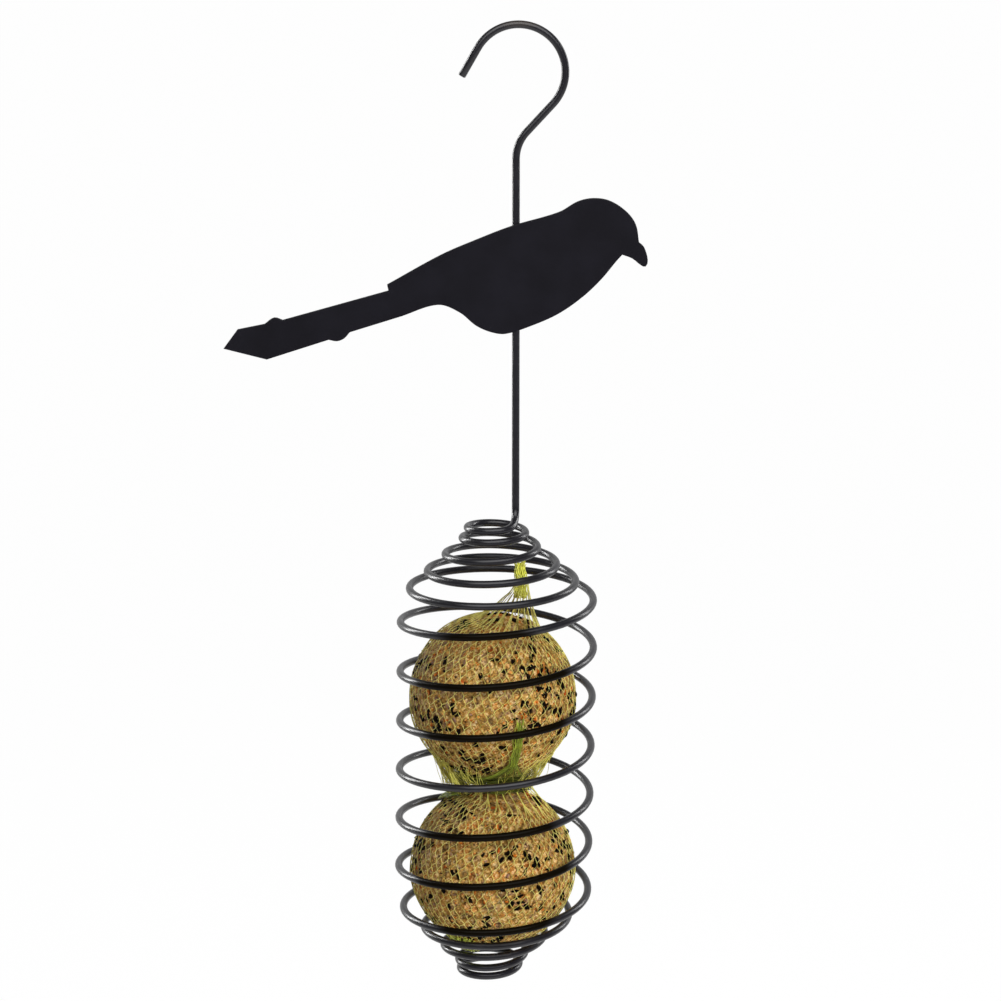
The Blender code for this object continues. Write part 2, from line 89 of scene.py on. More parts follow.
def linear(hex_colour):
    """An sRGB hex colour as linear RGBA: a channel over 0.04045 is ((c + 0.055) / 1.055) ** 2.4."""
    channels = np.array([int(hex_colour[at:at + 2], 16) for at in (1, 3, 5)]) / 255
    bright = ((channels + 0.055) / 1.055) ** 2.4
    return (*np.where(channels > 0.04045, bright, channels / 12.92).tolist(), 1)


def add(tree, kind, inputs=(), stops=(), **settings):
    """Add a node with these settings; inputs are socket values or links, stops are a ramp's colours."""
    item = tree.nodes.new(kind)
    for name, value in settings.items():
        setattr(item, name, value)
    for name, value in dict(inputs).items():
        if isinstance(value, bpy.types.NodeSocket):
            tree.links.new(value, item.inputs[name])
        else:
            item.inputs[name].default_value = value
    for index, (place, colour) in enumerate(stops):
        if index >= len(item.color_ramp.elements):
            item.color_ramp.elements.new(place)
        item.color_ramp.elements[index].position = place
        item.color_ramp.elements[index].color = linear(colour)
    return item


def new_material(name, roughness, **values):
    """A material with a Principled shader, as the material, its node tree and the shader."""
    material = bpy.data.materials.new(name)
    material.use_nodes = True
    shader = material.node_tree.nodes["Principled BSDF"]
    shader.inputs["Roughness"].default_value = roughness
    for socket, value in values.items():
        shader.inputs[socket.replace("_", " ")].default_value = value
    return material, material.node_tree, shader


def new_piece(name, points, faces, material):
    """A smooth mesh object in the shared frame, from an array of points and lists of corners."""
    mesh = bpy.data.meshes.new(name)
    mesh.from_pydata(np.reshape(points, (-1, 3)).tolist(), [], faces)
    mesh.polygons.foreach_set("use_smooth", np.ones(len(mesh.polygons), bool))
    mesh.materials.append(material)
    item = bpy.data.objects.new(name, mesh)
    bpy.context.scene.collection.objects.link(item)
    return item


def soft_box(name, azimuth, elevation, distance, size, power, lights=True, gleams=True):
    """A lamp that faces the cage, at an azimuth to the right and a height angle.

    A lamp may light the feeder, gleam on it or both, and a card only gleams.
    """
    lamp = bpy.data.lights.new(name, "AREA")
    lamp.shape = "RECTANGLE"
    lamp.size, lamp.size_y = size
    lamp.energy = power
    item = bpy.data.objects.new(name, lamp)
    turn, rise = math.radians(azimuth), math.radians(elevation)
    level = math.cos(rise)
    away = np.array((math.sin(turn) * level, -math.cos(turn) * level, math.sin(rise)))
    item.location = CAMERA_TARGET + distance * away
    item.visible_diffuse = lights
    item.visible_glossy = gleams
    item.rotation_euler = (math.pi / 2 - rise, 0, turn)
    bpy.context.scene.collection.objects.link(item)


soft_box("key_box", 33, 20, 1.3, (0.60, 0.60), 21, gleams=False)
soft_box("left_fill", -70, 12, 1.3, (0.60, 0.60), 4, gleams=False)
soft_box("over_card", 0, 48, 1.2, (1.60, 1.10), 18, lights=False)
soft_box("left_card", -120, 14, 1.1, (0.16, 0.90), 12, lights=False)
soft_box("right_card", 118, 16, 1.2, (0.16, 0.80), 5, lights=False)
soft_box("back_box", 168, 30, 1.4, (0.80, 0.40), 22, gleams=False)

ROOM_LIGHT = 0.16
PAPER_TO_CAMERA = 0.985
PAPER_IN_GLEAMS = 0.60

world = bpy.data.worlds.new("studio")
bpy.context.scene.world = world
world.use_nodes = True
tree = world.node_tree
room = tree.nodes["Background"]
room.inputs["Color"].default_value = linear("#c8c9cc")
room.inputs["Strength"].default_value = ROOM_LIGHT
paper_light = add(tree, "ShaderNodeBackground", {"Color": linear("#fefefe"), "Strength": 1})
rays = add(tree, "ShaderNodeLightPath")
seen = add(tree, "ShaderNodeMixShader", {
    0: rays.outputs["Is Camera Ray"],
    1: room.outputs["Background"],
    2: paper_light.outputs["Background"]})
tree.links.new(seen.outputs["Shader"], tree.nodes["World Output"].inputs["Surface"])

FLOOR_HEIGHT = -0.80
SWEEP_RADIUS = 0.9
SWEEP_REACH = (-2.6, 1.7)
SWEEP_FLOOR_STOPS = (-1.2, 0.3)
SWEEP_BEND_STEPS = 24
SWEEP_COLUMNS = 9
WALL_TOP = 2.6
SWEEP_HALF_WIDTH = 3.2


def paper_sweep(across):
    """Floor, quarter-round and wall: y and z of the paper's line, carried from side to side."""
    bend = np.linspace(0, math.pi / 2, SWEEP_BEND_STEPS)
    near, far = SWEEP_REACH
    wall = far + SWEEP_RADIUS
    y = np.concatenate(([near, *SWEEP_FLOOR_STOPS], far + SWEEP_RADIUS * np.sin(bend), [wall]))
    z = np.concatenate(([0, 0, 0], SWEEP_RADIUS * (1 - np.cos(bend)), [WALL_TOP - FLOOR_HEIGHT]))
    line = np.stack((y, z + FLOOR_HEIGHT), axis=1)
    sides = np.linspace(-SWEEP_HALF_WIDTH, SWEEP_HALF_WIDTH, across)
    points = np.empty((len(line), across, 3))
    points[..., 0] = sides
    points[..., 1:] = line[:, None]
    return points


def sheet_faces(rows, columns):
    """Corners of the quads of an open grid of points."""
    index = np.arange(rows * columns).reshape(rows, columns)
    corners = (index[:-1, :-1], index[:-1, 1:], index[1:, 1:], index[1:, :-1])
    return np.stack(corners, axis=-1).reshape(-1, 4).tolist()


# Matt background paper: pale and even, and seen as nearly white while it keeps soft shadows
paper, tree, shader = new_material("matt_background_paper", 0.95)
shader.inputs["Base Color"].default_value = linear("#f4f4f3")
glow = add(tree, "ShaderNodeEmission", {"Color": linear("#ffffff"), "Strength": 1})
rays = add(tree, "ShaderNodeLightPath")
gleam = add(tree, "ShaderNodeMath", {
    0: rays.outputs["Is Glossy Ray"], 1: PAPER_IN_GLEAMS}, operation="MULTIPLY")
share = add(tree, "ShaderNodeMath", {
    0: rays.outputs["Is Camera Ray"], 1: PAPER_TO_CAMERA, 2: gleam.outputs["Value"]},
    operation="MULTIPLY_ADD")
mixed = add(tree, "ShaderNodeMixShader", {
    0: share.outputs["Value"], 1: shader.outputs["BSDF"], 2: glow.outputs["Emission"]})
tree.links.new(mixed.outputs["Shader"], tree.nodes["Material Output"].inputs["Surface"])
sweep = paper_sweep(SWEEP_COLUMNS)
floor = new_piece("paper_floor", sweep, sheet_faces(*sweep.shape[:2]), paper)


# The wire: hook, slanting shank, stem and coiled cage in one unbroken length of 2.8 mm steel
# wire.  It is bent and wound by hand over formers, cut square at both ends, and powder
# coated satin black after the bird is welded on.  Its turns are a soft spring.

WIRE_RADIUS = 0.0014
CUT_EDGE = 0.0003
HOOK_INSIDE_RADIUS = 0.0154
HOOK_TIP_STRAIGHT = 0.0115
HOOK_TIP_ANGLE = math.radians(150)
SHANK_SLANT = math.radians(43)
SHANK_BEND_RADIUS = 0.0140
HOOK_OVER_STEM = 0.0008
STEM_LENGTH = 0.1340
FOOT_BEND_DROP = 0.0073
STEM_OFFSET = 0.0075
DOME_DRIFT = -0.0008
BARREL_DRIFT = 0.0010
FOOT_DRIFT = 0.0024
SETTLE_SHARE = 0.45
BALL_SPACING = 0.06812
COIL_TURNS = (0, 1.25, 3.5, 6.25, 1.75, 1.25, 1.5)
COIL_RADII = (0.0100, 0.0120, 0.03621, 0.03621, 0.02103, 0.0120, 0.0110)
COIL_PITCHES = (0, 0.0039, 0.0065, 1.766 * BALL_SPACING / 6.25, 0.0080, 0.0074, 0.0036)
COIL_DRIFTS = (0, 0, DOME_DRIFT, BARREL_DRIFT, FOOT_DRIFT, FOOT_DRIFT, FOOT_DRIFT)
COIL_STATIONS = np.cumsum(COIL_TURNS)
COIL_DROPS = np.cumsum(np.multiply(COIL_TURNS, COIL_PITCHES))
CORNER_TURNS = 0.5
CORNER_SAMPLES = 24
STEPS_PER_TURN = 72
HOOK_STEPS = 72
SHANK_BEND_STEPS = 20
FOOT_BEND_STEPS = 24
WIRE_SIDES = 20

STEM_X = -HOOK_OVER_STEM
COIL_X = STEM_X - STEM_OFFSET
BALL_X = COIL_X - SETTLE_SHARE * FOOT_DRIFT


def unit(vectors):
    """The same directions, with length 1."""
    return vectors / np.linalg.norm(vectors, axis=-1, keepdims=True)


def arc(centre, radius, start, end, steps):
    """Points centre + radius (cos a, 0, sin a) as the angle a goes from start to end."""
    angle = np.linspace(start, end, steps)
    ring = np.stack((np.cos(angle), np.zeros(steps), np.sin(angle)), axis=1)
    return np.asarray(centre) + radius * ring


def eased(turns, values):
    """Values that change evenly between the coil's stations, averaged over half a turn at its corners."""
    end = COIL_STATIONS[-1]
    reach = np.clip(np.minimum(turns, end - turns), 0, CORNER_TURNS / 2)
    window = turns[:, None] + reach[:, None] * np.linspace(-1, 1, CORNER_SAMPLES)
    return np.interp(window, COIL_STATIONS, values).mean(axis=1)


def coil(turns, top):
    """The wound line: middle + radius (cos a, sin a), a = -90 - 360 degrees per turn, sinking."""
    angle = -math.pi / 2 - 2 * math.pi * turns
    radius = eased(turns, COIL_RADII)
    x = COIL_X - eased(turns, COIL_DRIFTS) + radius * np.cos(angle)
    return np.stack((x, radius * np.sin(angle), top - eased(turns, COIL_DROPS)), axis=1)


def bezier(start, leave, arrive, end, steps):
    """A smooth curve from start to end that leaves and arrives along the two handles."""
    share = np.linspace(0, 1, steps)[:, None]
    rest = 1 - share
    return (rest ** 3 * start + 3 * rest ** 2 * share * leave
            + 3 * rest * share ** 2 * arrive + share ** 3 * end)


def tubes(paths, outs, radii, sides):
    """Closed round strands: round each path point a ring, path + radius (cos a out + sin a run x out)."""
    run = unit(np.gradient(paths, axis=1))
    out = unit(outs - run * (outs * run).sum(axis=-1, keepdims=True))
    angle = np.linspace(0, 2 * math.pi, sides, endpoint=False)[:, None]
    ring = np.cos(angle) * out[..., None, :] + np.sin(angle) * np.cross(run, out)[..., None, :]
    points = paths[..., None, :] + radii[..., None, None] * ring
    index = np.arange(points[..., 0].size).reshape(points.shape[:3])
    follow = np.roll(index, -1, axis=2)
    walls = np.stack((index[:, :-1], follow[:, :-1], follow[:, 1:], index[:, 1:]), axis=-1)
    caps = np.concatenate((index[:, 0, ::-1], index[:, -1]))
    return points, walls.reshape(-1, 4).tolist() + caps.tolist()


hook_radius = HOOK_INSIDE_RADIUS + WIRE_RADIUS
hook_centre = np.array((0, 0, -HOOK_INSIDE_RADIUS))
bow = arc(hook_centre, hook_radius, HOOK_TIP_ANGLE, -SHANK_SLANT, HOOK_STEPS)
tip_run = np.array((math.sin(HOOK_TIP_ANGLE), 0, -math.cos(HOOK_TIP_ANGLE)))
tip = bow[0] - HOOK_TIP_STRAIGHT * tip_run
slant_run = np.array((-math.sin(SHANK_SLANT), 0, -math.cos(SHANK_SLANT)))
shank_corner = bow[-1] + slant_run * (bow[-1][0] - STEM_X) / math.sin(SHANK_SLANT)
bend_reach = SHANK_BEND_RADIUS * math.tan(SHANK_SLANT / 2)
bend_centre = (STEM_X + SHANK_BEND_RADIUS, 0, shank_corner[2] - bend_reach)
shank_bend = arc(bend_centre, SHANK_BEND_RADIUS, math.pi - SHANK_SLANT, math.pi, SHANK_BEND_STEPS)
stem_foot = np.array((STEM_X, 0, shank_corner[2] - STEM_LENGTH))
coil_top = stem_foot[2] - FOOT_BEND_DROP
turns = np.linspace(0, COIL_STATIONS[-1], round(COIL_STATIONS[-1] * STEPS_PER_TURN) + 1)
winding = coil(turns, coil_top)
coil_start_run = unit(winding[1] - winding[0])
foot_bend = bezier(stem_foot, stem_foot - (0, 0, FOOT_BEND_DROP),
                   winding[0] - coil_start_run * FOOT_BEND_DROP, winding[0], FOOT_BEND_STEPS)
end_run = unit(winding[-1] - winding[-2])

wire_line = np.concatenate((
    [tip, tip + CUT_EDGE * tip_run], bow, shank_bend, foot_bend[:-1], winding[:-1],
    [winding[-1], winding[-1] + CUT_EDGE * end_run]))
wire_out = np.tile((0.0, -1.0, 0.0), (len(wire_line), 1))
coil_angle = -math.pi / 2 - 2 * math.pi * np.append(turns, turns[-1])
wire_out[-len(coil_angle):, :2] = np.stack((np.cos(coil_angle), np.sin(coil_angle)), axis=1)
wire_radii = np.full(len(wire_line), WIRE_RADIUS)
wire_radii[[0, -1]] = WIRE_RADIUS - CUT_EDGE

# Where the painted shade on the coil's front lies: round a place in front of each ball's middle,
# it thins out between two distances, which count half along the depth
BALL_SHADE_DEPTH = -0.036
BALL_SHADE_RISE = 0.0088
BALL_SHADE_SHAPE = (1, 0.5, 1)
BALL_SHADE_REACH = (0.0275, 0.0325)

# Scales of patterns are cells per millimetre
PER_MM = 1000

# Satin black powder coat over steel wire: sprayed as dust and baked, so it keeps a fine
# orange-peel skin that breaks up the highlights.  The crown's top is mixed towards a paler
# brown-grey, partly wear and partly a painted sheen, and where the coil's front passes the
# balls a painted shade in dark brown darkens the coat and dims its gloss
powder_coat, tree, shader = new_material("satin_black_powder_coat", 0.31)
place = add(tree, "ShaderNodeTexCoord").outputs["Object"]
patches = add(tree, "ShaderNodeTexNoise", {"Vector": place, "Scale": 0.16 * PER_MM, "Detail": 3})
coat = add(tree, "ShaderNodeValToRGB", {"Fac": patches.outputs["Fac"]},
           stops=((0.30, "#121116"), (0.70, "#1a191e")))
height = add(tree, "ShaderNodeSeparateXYZ", {"Vector": place}).outputs["Z"]
# Painted sheen, partly wear: the crown's top is mixed up to half way towards a paler brown-grey
crown = add(tree, "ShaderNodeMapRange", {
    "Value": height, "From Min": 0.0002, "From Max": 0.0026, "To Max": 0.5})
crown_wear_and_sheen = add(tree, "ShaderNodeMix", {
    "Factor": crown.outputs["Result"], "A": coat.outputs["Color"], "B": linear("#4d453c")},
    data_type="RGBA")
ball_shade_mask = None
# Painted shade: a mask round a place in front of each ball's middle, where the coil passes the balls
for ball in ("upper_suet_ball", "lower_suet_ball"):
    middle = [(low + high) / 2 for low, high in zip(*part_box(ball))]
    middle[1:] = BALL_SHADE_DEPTH, middle[2] + BALL_SHADE_RISE
    away = add(tree, "ShaderNodeVectorMath", {0: place, 1: middle}, operation="SUBTRACT")
    away = add(tree, "ShaderNodeVectorMath", {
        0: away.outputs["Vector"], 1: BALL_SHADE_SHAPE}, operation="MULTIPLY")
    length = add(tree, "ShaderNodeVectorMath", {0: away.outputs["Vector"]}, operation="LENGTH")
    spot = add(tree, "ShaderNodeMapRange", {
        "Value": length.outputs["Value"], "From Min": BALL_SHADE_REACH[0], "From Max": BALL_SHADE_REACH[1],
        "To Min": 1, "To Max": 0}, interpolation_type="SMOOTHSTEP").outputs["Result"]
    if ball_shade_mask is not None:
        spot = add(tree, "ShaderNodeMath", {0: ball_shade_mask, 1: spot}, operation="MAXIMUM").outputs["Value"]
    ball_shade_mask = spot
# Painted shade: the coat is mixed to dark brown there, and its gloss is dimmed below
ball_shaded_coat = add(tree, "ShaderNodeMix", {
    "Factor": ball_shade_mask, "A": crown_wear_and_sheen.outputs["Result"], "B": linear("#0b0702")}, data_type="RGBA")
tree.links.new(ball_shaded_coat.outputs["Result"], shader.inputs["Base Color"])
gloss = add(tree, "ShaderNodeMapRange", {"Value": ball_shade_mask, "To Min": 0.5, "To Max": 0.05})
tree.links.new(gloss.outputs["Result"], shader.inputs["Specular IOR Level"])
peel = add(tree, "ShaderNodeTexNoise", {"Vector": place, "Scale": 1.1 * PER_MM, "Detail": 2})
skin = add(tree, "ShaderNodeBump", {
    "Height": peel.outputs["Fac"], "Strength": 0.12, "Distance": 0.00012})
tree.links.new(skin.outputs["Normal"], shader.inputs["Normal"])

points, faces = tubes(wire_line[None], wire_out[None], wire_radii[None], WIRE_SIDES)
wire = new_piece("wire_hook_stem_and_cage", points, faces, powder_coat)
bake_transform(wire)
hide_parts("hook_and_stem", "cage_spring", "cage_foot")


# The bird: one flat piece of 1.6 mm steel sheet in the outline of a perching songbird.  It is
# laser cut, its edge is broken by tumbling, and it is welded by its back to the front of the
# stem and coated together with the wire.

BIRD_LENGTH = 0.1543
BIRD_HEIGHT = 0.0590
BIRD_THICKNESS = 0.0016
BIRD_TAIL_TO_STEM = 0.1066
BIRD_FOOT_ABOVE_COIL = 0.0556
BIRD_BACK = -WIRE_RADIUS - 0.0003
RIM_RADIUS = 0.00026
RIM_STEPS = 4
SHARPEST_MITRE = 0.8
OUTLINE_STEP = 0.0011
# Shares of the length and height, and 1 where the outline runs round rather than to a corner
BIRD_OUTLINE_SHARES = np.array((
    (0.000, 0.068, 0), (0.034, 0.188, 0), (0.098, 0.222, 0), (0.121, 0.262, 1), (0.141, 0.247, 0),
    (0.391, 0.430, 0), (0.388, 0.468, 0), (0.515, 0.652, 1), (0.598, 0.746, 1), (0.680, 0.829, 1),
    (0.791, 0.915, 1), (0.835, 0.980, 1), (0.871, 1.000, 1), (0.909, 0.985, 1), (0.948, 0.920, 1),
    (0.971, 0.840, 1), (0.979, 0.729, 0), (0.991, 0.700, 1), (1.000, 0.620, 1), (0.995, 0.580, 1),
    (0.983, 0.590, 1), (0.964, 0.629, 1), (0.940, 0.653, 0), (0.926, 0.612, 1), (0.892, 0.503, 1),
    (0.848, 0.392, 1), (0.790, 0.285, 1), (0.723, 0.207, 1), (0.666, 0.161, 1), (0.633, 0.171, 1),
    (0.597, 0.212, 1), (0.558, 0.295, 1), (0.507, 0.342, 1), (0.419, 0.269, 0), (0.299, 0.171, 0),
    (0.285, 0.131, 1), (0.268, 0.115, 1), (0.249, 0.124, 0), (0.102, 0.000, 0)))


def bird_outline():
    """Outline points in x and z: cubic curves between the shares.

    A round share's curves are aimed along its neighbours, a corner's straight on.
    """
    size = np.array((BIRD_LENGTH, BIRD_HEIGHT))
    corner = np.array((STEM_X - BIRD_TAIL_TO_STEM, stem_foot[2] + BIRD_FOOT_ABOVE_COIL))
    here = corner + size * BIRD_OUTLINE_SHARES[:, :2]
    is_round = BIRD_OUTLINE_SHARES[:, 2:]
    there = np.roll(here, -1, axis=0)
    chord = there - here
    reach = np.linalg.norm(chord, axis=1, keepdims=True)
    aim = unit(there - np.roll(here, 1, axis=0))
    straight = chord / reach
    leave = np.where(is_round > 0, aim, straight) * reach
    arrive = np.where(np.roll(is_round, -1, axis=0) > 0, np.roll(aim, -1, axis=0), straight) * reach
    parts = []
    for start, go, out, back, length in zip(here, chord, leave, arrive, reach[:, 0]):
        share = np.linspace(0, 1, max(1, round(length / OUTLINE_STEP)), endpoint=False)[:, None]
        rise = share * share * (3 - 2 * share)
        parts.append(start + go * rise
                     + out * share * (1 - share) ** 2 - back * share ** 2 * (1 - share))
    return np.concatenate(parts)


def plate_rings(outline):
    """The outline at each depth of the rim: drawn in by its radius at the faces, full between."""
    follow = unit(np.roll(outline, -1, axis=0) - outline)
    before = np.roll(follow, 1, axis=0)
    inward = np.stack((follow[:, 1] + before[:, 1], -follow[:, 0] - before[:, 0]), axis=1)
    spread = np.linalg.norm(inward, axis=1, keepdims=True)
    inward *= 2 / np.maximum(spread, SHARPEST_MITRE) ** 2
    angle = np.linspace(0, math.pi / 2, RIM_STEPS)
    draw_in = RIM_RADIUS * (1 - np.sin(angle))
    depth = RIM_RADIUS * (1 - np.cos(angle))
    draw_in = np.concatenate((draw_in, draw_in[::-1]))
    depth = np.concatenate((depth, BIRD_THICKNESS - depth[::-1]))
    rings = outline + draw_in[:, None, None] * inward
    y = np.broadcast_to(BIRD_BACK - depth[:, None, None], rings.shape[:2] + (1,))
    return np.concatenate((rings[..., :1], y, rings[..., 1:]), axis=-1)


rings = plate_rings(bird_outline())
index = np.arange(rings[..., 0].size).reshape(rings.shape[:2])
follow = np.roll(index, -1, axis=1)
rim_faces = np.stack((index[:-1], index[1:], follow[1:], follow[:-1]), axis=-1).reshape(-1, 4)
faces = rim_faces.tolist() + [index[0].tolist(), index[-1, ::-1].tolist()]

# Satin black powder coat on sheet: flatter, duller and more even than on the wire, with the
# same fine orange peel
plate_coat, tree, shader = new_material("satin_black_coated_sheet", 0.46, Specular_IOR_Level=0.12)
place = add(tree, "ShaderNodeTexCoord").outputs["Object"]
patches = add(tree, "ShaderNodeTexNoise", {"Vector": place, "Scale": 0.09 * PER_MM, "Detail": 4})
coat = add(tree, "ShaderNodeValToRGB", {"Fac": patches.outputs["Fac"]},
           stops=((0.32, "#111015"), (0.68, "#15141a")))
tree.links.new(coat.outputs["Color"], shader.inputs["Base Color"])
peel = add(tree, "ShaderNodeTexNoise", {"Vector": place, "Scale": 1.0 * PER_MM, "Detail": 2})
skin = add(tree, "ShaderNodeBump", {
    "Height": peel.outputs["Fac"], "Strength": 0.25, "Distance": 0.0001})
tree.links.new(skin.outputs["Normal"], shader.inputs["Normal"])

bird = new_piece("bird_plate", rings, faces, plate_coat)
smooth = np.ones(len(bird.data.polygons), bool)
smooth[-2:] = False
bird.data.polygons.foreach_set("use_smooth", smooth)
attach(bird, "hanger")
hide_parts("bird_silhouette")


# Tack welds: two beads of weld metal on the bird's back, one near each edge, laid over the
# stem in a few overlapping drops and coated black with the rest.

WELD_HALF_SIZE = (0.0034, 0.0042, 0.0035)
WELD_RIPPLE = 0.00022
WELD_RIPPLE_STEP = 0.0011
WELD_RIPPLE_WAYS = (1, 1, 0.3)
WELD_CELLS = 14


def round_grid(cells):
    """A ball of radius 1 as six square grids whose points (tan u, tan v, 1) are pushed out to length 1."""
    line = np.tan(np.linspace(-math.pi / 4, math.pi / 4, cells + 1))
    u, v = np.meshgrid(line, line, indexing="ij")
    side = np.stack((u, v, np.ones_like(u)), axis=-1).reshape(-1, 3)
    order = ((0, 1, 2), (1, 2, 0), (2, 0, 1))
    sides = [side[:, axes] for axes in order] + [-side[:, axes] for axes in order]
    points = np.concatenate(sides)
    quads = np.array(sheet_faces(cells + 1, cells + 1))
    quads = np.concatenate([quads + len(side) * number for number in range(3)]
                           + [quads[:, ::-1] + len(side) * number for number in range(3, 6)])
    points, merged = np.unique(np.round(points, 7), axis=0, return_inverse=True)
    quads = merged.reshape(-1)[quads]
    points = unit(points)
    first = points[quads[0]]
    outward = np.cross(first[1] - first[0], first[3] - first[0])
    if outward @ first[0] < 0:
        quads = quads[:, ::-1]
    return points, quads


ball_points, quads = round_grid(WELD_CELLS)
for name in ("upper_weld", "lower_weld"):
    low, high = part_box(name)
    middle = np.array((STEM_X, -WIRE_RADIUS, (low[2] + high[2]) / 2))
    bead = ball_points * WELD_HALF_SIZE
    ripple = WELD_RIPPLE * np.cos(2 * math.pi * bead[:, 2] / WELD_RIPPLE_STEP)
    bead = bead + ball_points * ripple[:, None] * WELD_RIPPLE_WAYS
    bead[:, 1] = np.maximum(bead[:, 1], 0)
    piece = new_piece(name + "_bead", middle + bead, quads.tolist(), powder_coat)
    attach(piece, "hanger")
    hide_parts(name)


# Suet balls: rendered fat mixed with meal, oats and seeds and pressed to 62 mm balls.  The
# surface is crumbly, with pits between the crumbs, husks of black seeds and paler grains
# pressed half into it.

BALL_RADIUS = 0.0308
BALL_CELLS = 124
CRUMB = 0.0023
SMALL_CRUMB = 0.0012
CRUMB_BEND = 0.0006
CRUMB_BEND_SIZE = 0.0024
DENT_SIZE = 0.0120
HOLLOW_SIZE = 0.0034
CRUMB_RISE = 0.00030
SMALL_CRUMB_RISE = 0.00022
DENT_RISE = 0.00025
HOLLOW_DEPTH = 0.00060
SKIN_DEPTH = 0.00030
CRUMB_EDGE = 0.35
SMALL_CRUMB_EDGE = 0.4
HOLLOW_FROM = 0.25
HOLLOW_EDGE = 0.4

# Husks and grains of a ball: how many, how many lie together, half sizes along, across and
# out, how deep they sink and how far one strays from its group, as a share of the radius
HUSKS = {"count": 300, "cluster": 2, "half_sizes": (0.00138, 0.00072, 0.00060), "sink": -0.00010}
GRAINS = {"count": 820, "cluster": 2, "half_sizes": (0.00100, 0.00050, 0.00042), "sink": 0.00005}
STRAY = 0.10
SEED_SIZES = (0.55, 1.35)
SEED_TEAR = 0.38
SEED_TEAR_LIMIT = 1.4
SEED_CELLS = 3

LOWER_CENTRE = np.array((BALL_X, 0, sum(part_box("lower_suet_ball")[side][2] for side in (0, 1)) / 2))
UPPER_CENTRE = np.array((BALL_X, 0, sum(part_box("upper_suet_ball")[side][2] for side in (0, 1)) / 2))


def lattice_value(key, seed):
    """A fixed random value from 0 to 1 for each whole-number place of a lattice."""
    mix = (key @ np.array((73856093, 19349663, 83492791)) + seed * 40503).astype(np.uint64)
    for _ in range(3):
        mix = (mix ^ (mix >> np.uint64(15))) * np.uint64(2246822519) & np.uint64(0xFFFFFFFF)
    return (mix ^ (mix >> np.uint64(13))).astype(float) / 0xFFFFFFFF


def waves(points, size, seed):
    """Smooth random values from -1 to 1: lattice values this far apart, eased into each other."""
    cell = np.asarray(points) / size
    low = np.floor(cell).astype(np.int64)
    share = cell - low
    share = share * share * (3 - 2 * share)
    total = np.zeros(cell.shape[:-1])
    for corner in itertools.product((0, 1), repeat=3):
        weight = np.where(np.array(corner) == 1, share, 1 - share).prod(axis=-1)
        total += weight * lattice_value(low + np.array(corner), seed)
    return 2 * total - 1


def sway(points, size, seed):
    """Smooth random vectors: one set of waves for each of x, y and z."""
    return np.stack([waves(points, size, seed + axis) for axis in range(3)], axis=-1)


def crumbs(points, size, seed):
    """Distances, in cell sizes, to the nearest and second nearest of crumb middles strewn one per cell."""
    cell = np.asarray(points) / size
    low = np.floor(cell).astype(np.int64)
    near = np.full(cell.shape[:-1], 9.0)
    second = near.copy()
    for step in itertools.product((-1, 0, 1), repeat=3):
        key = low + np.array(step)
        strewn = np.stack([lattice_value(key, seed + number) for number in (1, 2, 3)], axis=-1)
        reach = np.linalg.norm(key + strewn - cell, axis=-1)
        second = np.minimum(second, np.maximum(near, reach))
        near = np.minimum(near, reach)
    return near, second


# Pressed suet: fat and meal with seeds.  Each crumb has its own tone of tan, orange-brown or
# grey-pink, the joints between crumbs are dark, painted shade darkens the pits nearly black,
# and the fat gives a faint greasy gloss
suet, tree, shader = new_material("pressed_suet_with_seeds", 0.70, Specular_IOR_Level=0.12)
place = add(tree, "ShaderNodeTexCoord").outputs["Object"]
bend = add(tree, "ShaderNodeTexNoise", {"Vector": place, "Scale": 0.7 * PER_MM, "Detail": 3})
shift = add(tree, "ShaderNodeVectorMath", {0: bend.outputs["Color"], 1: (0.0012, 0.0012, 0.0012)},
            operation="MULTIPLY")
torn = add(tree, "ShaderNodeVectorMath", {0: place, 1: shift.outputs["Vector"]}, operation="ADD")
mash = add(tree, "ShaderNodeTexNoise", {
    "Vector": torn.outputs["Vector"], "Scale": 0.62 * PER_MM, "Detail": 5, "Roughness": 0.75})
meal = add(tree, "ShaderNodeTexVoronoi", {"Vector": torn.outputs["Vector"], "Scale": 1.1 * PER_MM})
grain_tone = add(tree, "ShaderNodeSeparateColor", {"Color": meal.outputs["Color"]})
both = add(tree, "ShaderNodeMath", {0: grain_tone.outputs["Red"], 1: 0.42}, operation="MULTIPLY")
mixed = add(tree, "ShaderNodeMath", {0: mash.outputs["Fac"], 1: both.outputs["Value"]}, operation="ADD")
grain = add(tree, "ShaderNodeValToRGB", {"Fac": mixed.outputs["Value"]}, stops=(
    (0.42, "#2a1705"), (0.54, "#6e4a1a"), (0.66, "#a87a36"), (0.80, "#d3a55a"), (0.95, "#fbe0a6")))
lumps = add(tree, "ShaderNodeTexNoise", {
    "Vector": place, "Scale": 0.19 * PER_MM, "Detail": 5, "Roughness": 0.6})
patch = add(tree, "ShaderNodeValToRGB", {"Fac": lumps.outputs["Fac"]}, stops=(
    (0.36, "#a5866f"), (0.46, "#b08c45"), (0.54, "#c0924a"), (0.62, "#d0803c"), (0.70, "#b85c20")))
toned = add(tree, "ShaderNodeMix", {
    "Factor": 0.38, "A": grain.outputs["Color"], "B": patch.outputs["Color"]}, data_type="RGBA")
joints = add(tree, "ShaderNodeTexVoronoi", {"Vector": torn.outputs["Vector"], "Scale": 0.7 * PER_MM},
             feature="DISTANCE_TO_EDGE")
joint_dark = add(tree, "ShaderNodeMapRange", {
    "Value": joints.outputs["Distance"], "From Min": 0.0, "From Max": 0.08, "To Min": 0.5, "To Max": 0})
jointed = add(tree, "ShaderNodeMix", {
    "Factor": joint_dark.outputs["Result"], "A": toned.outputs["Result"], "B": linear("#1c1005")},
    data_type="RGBA")
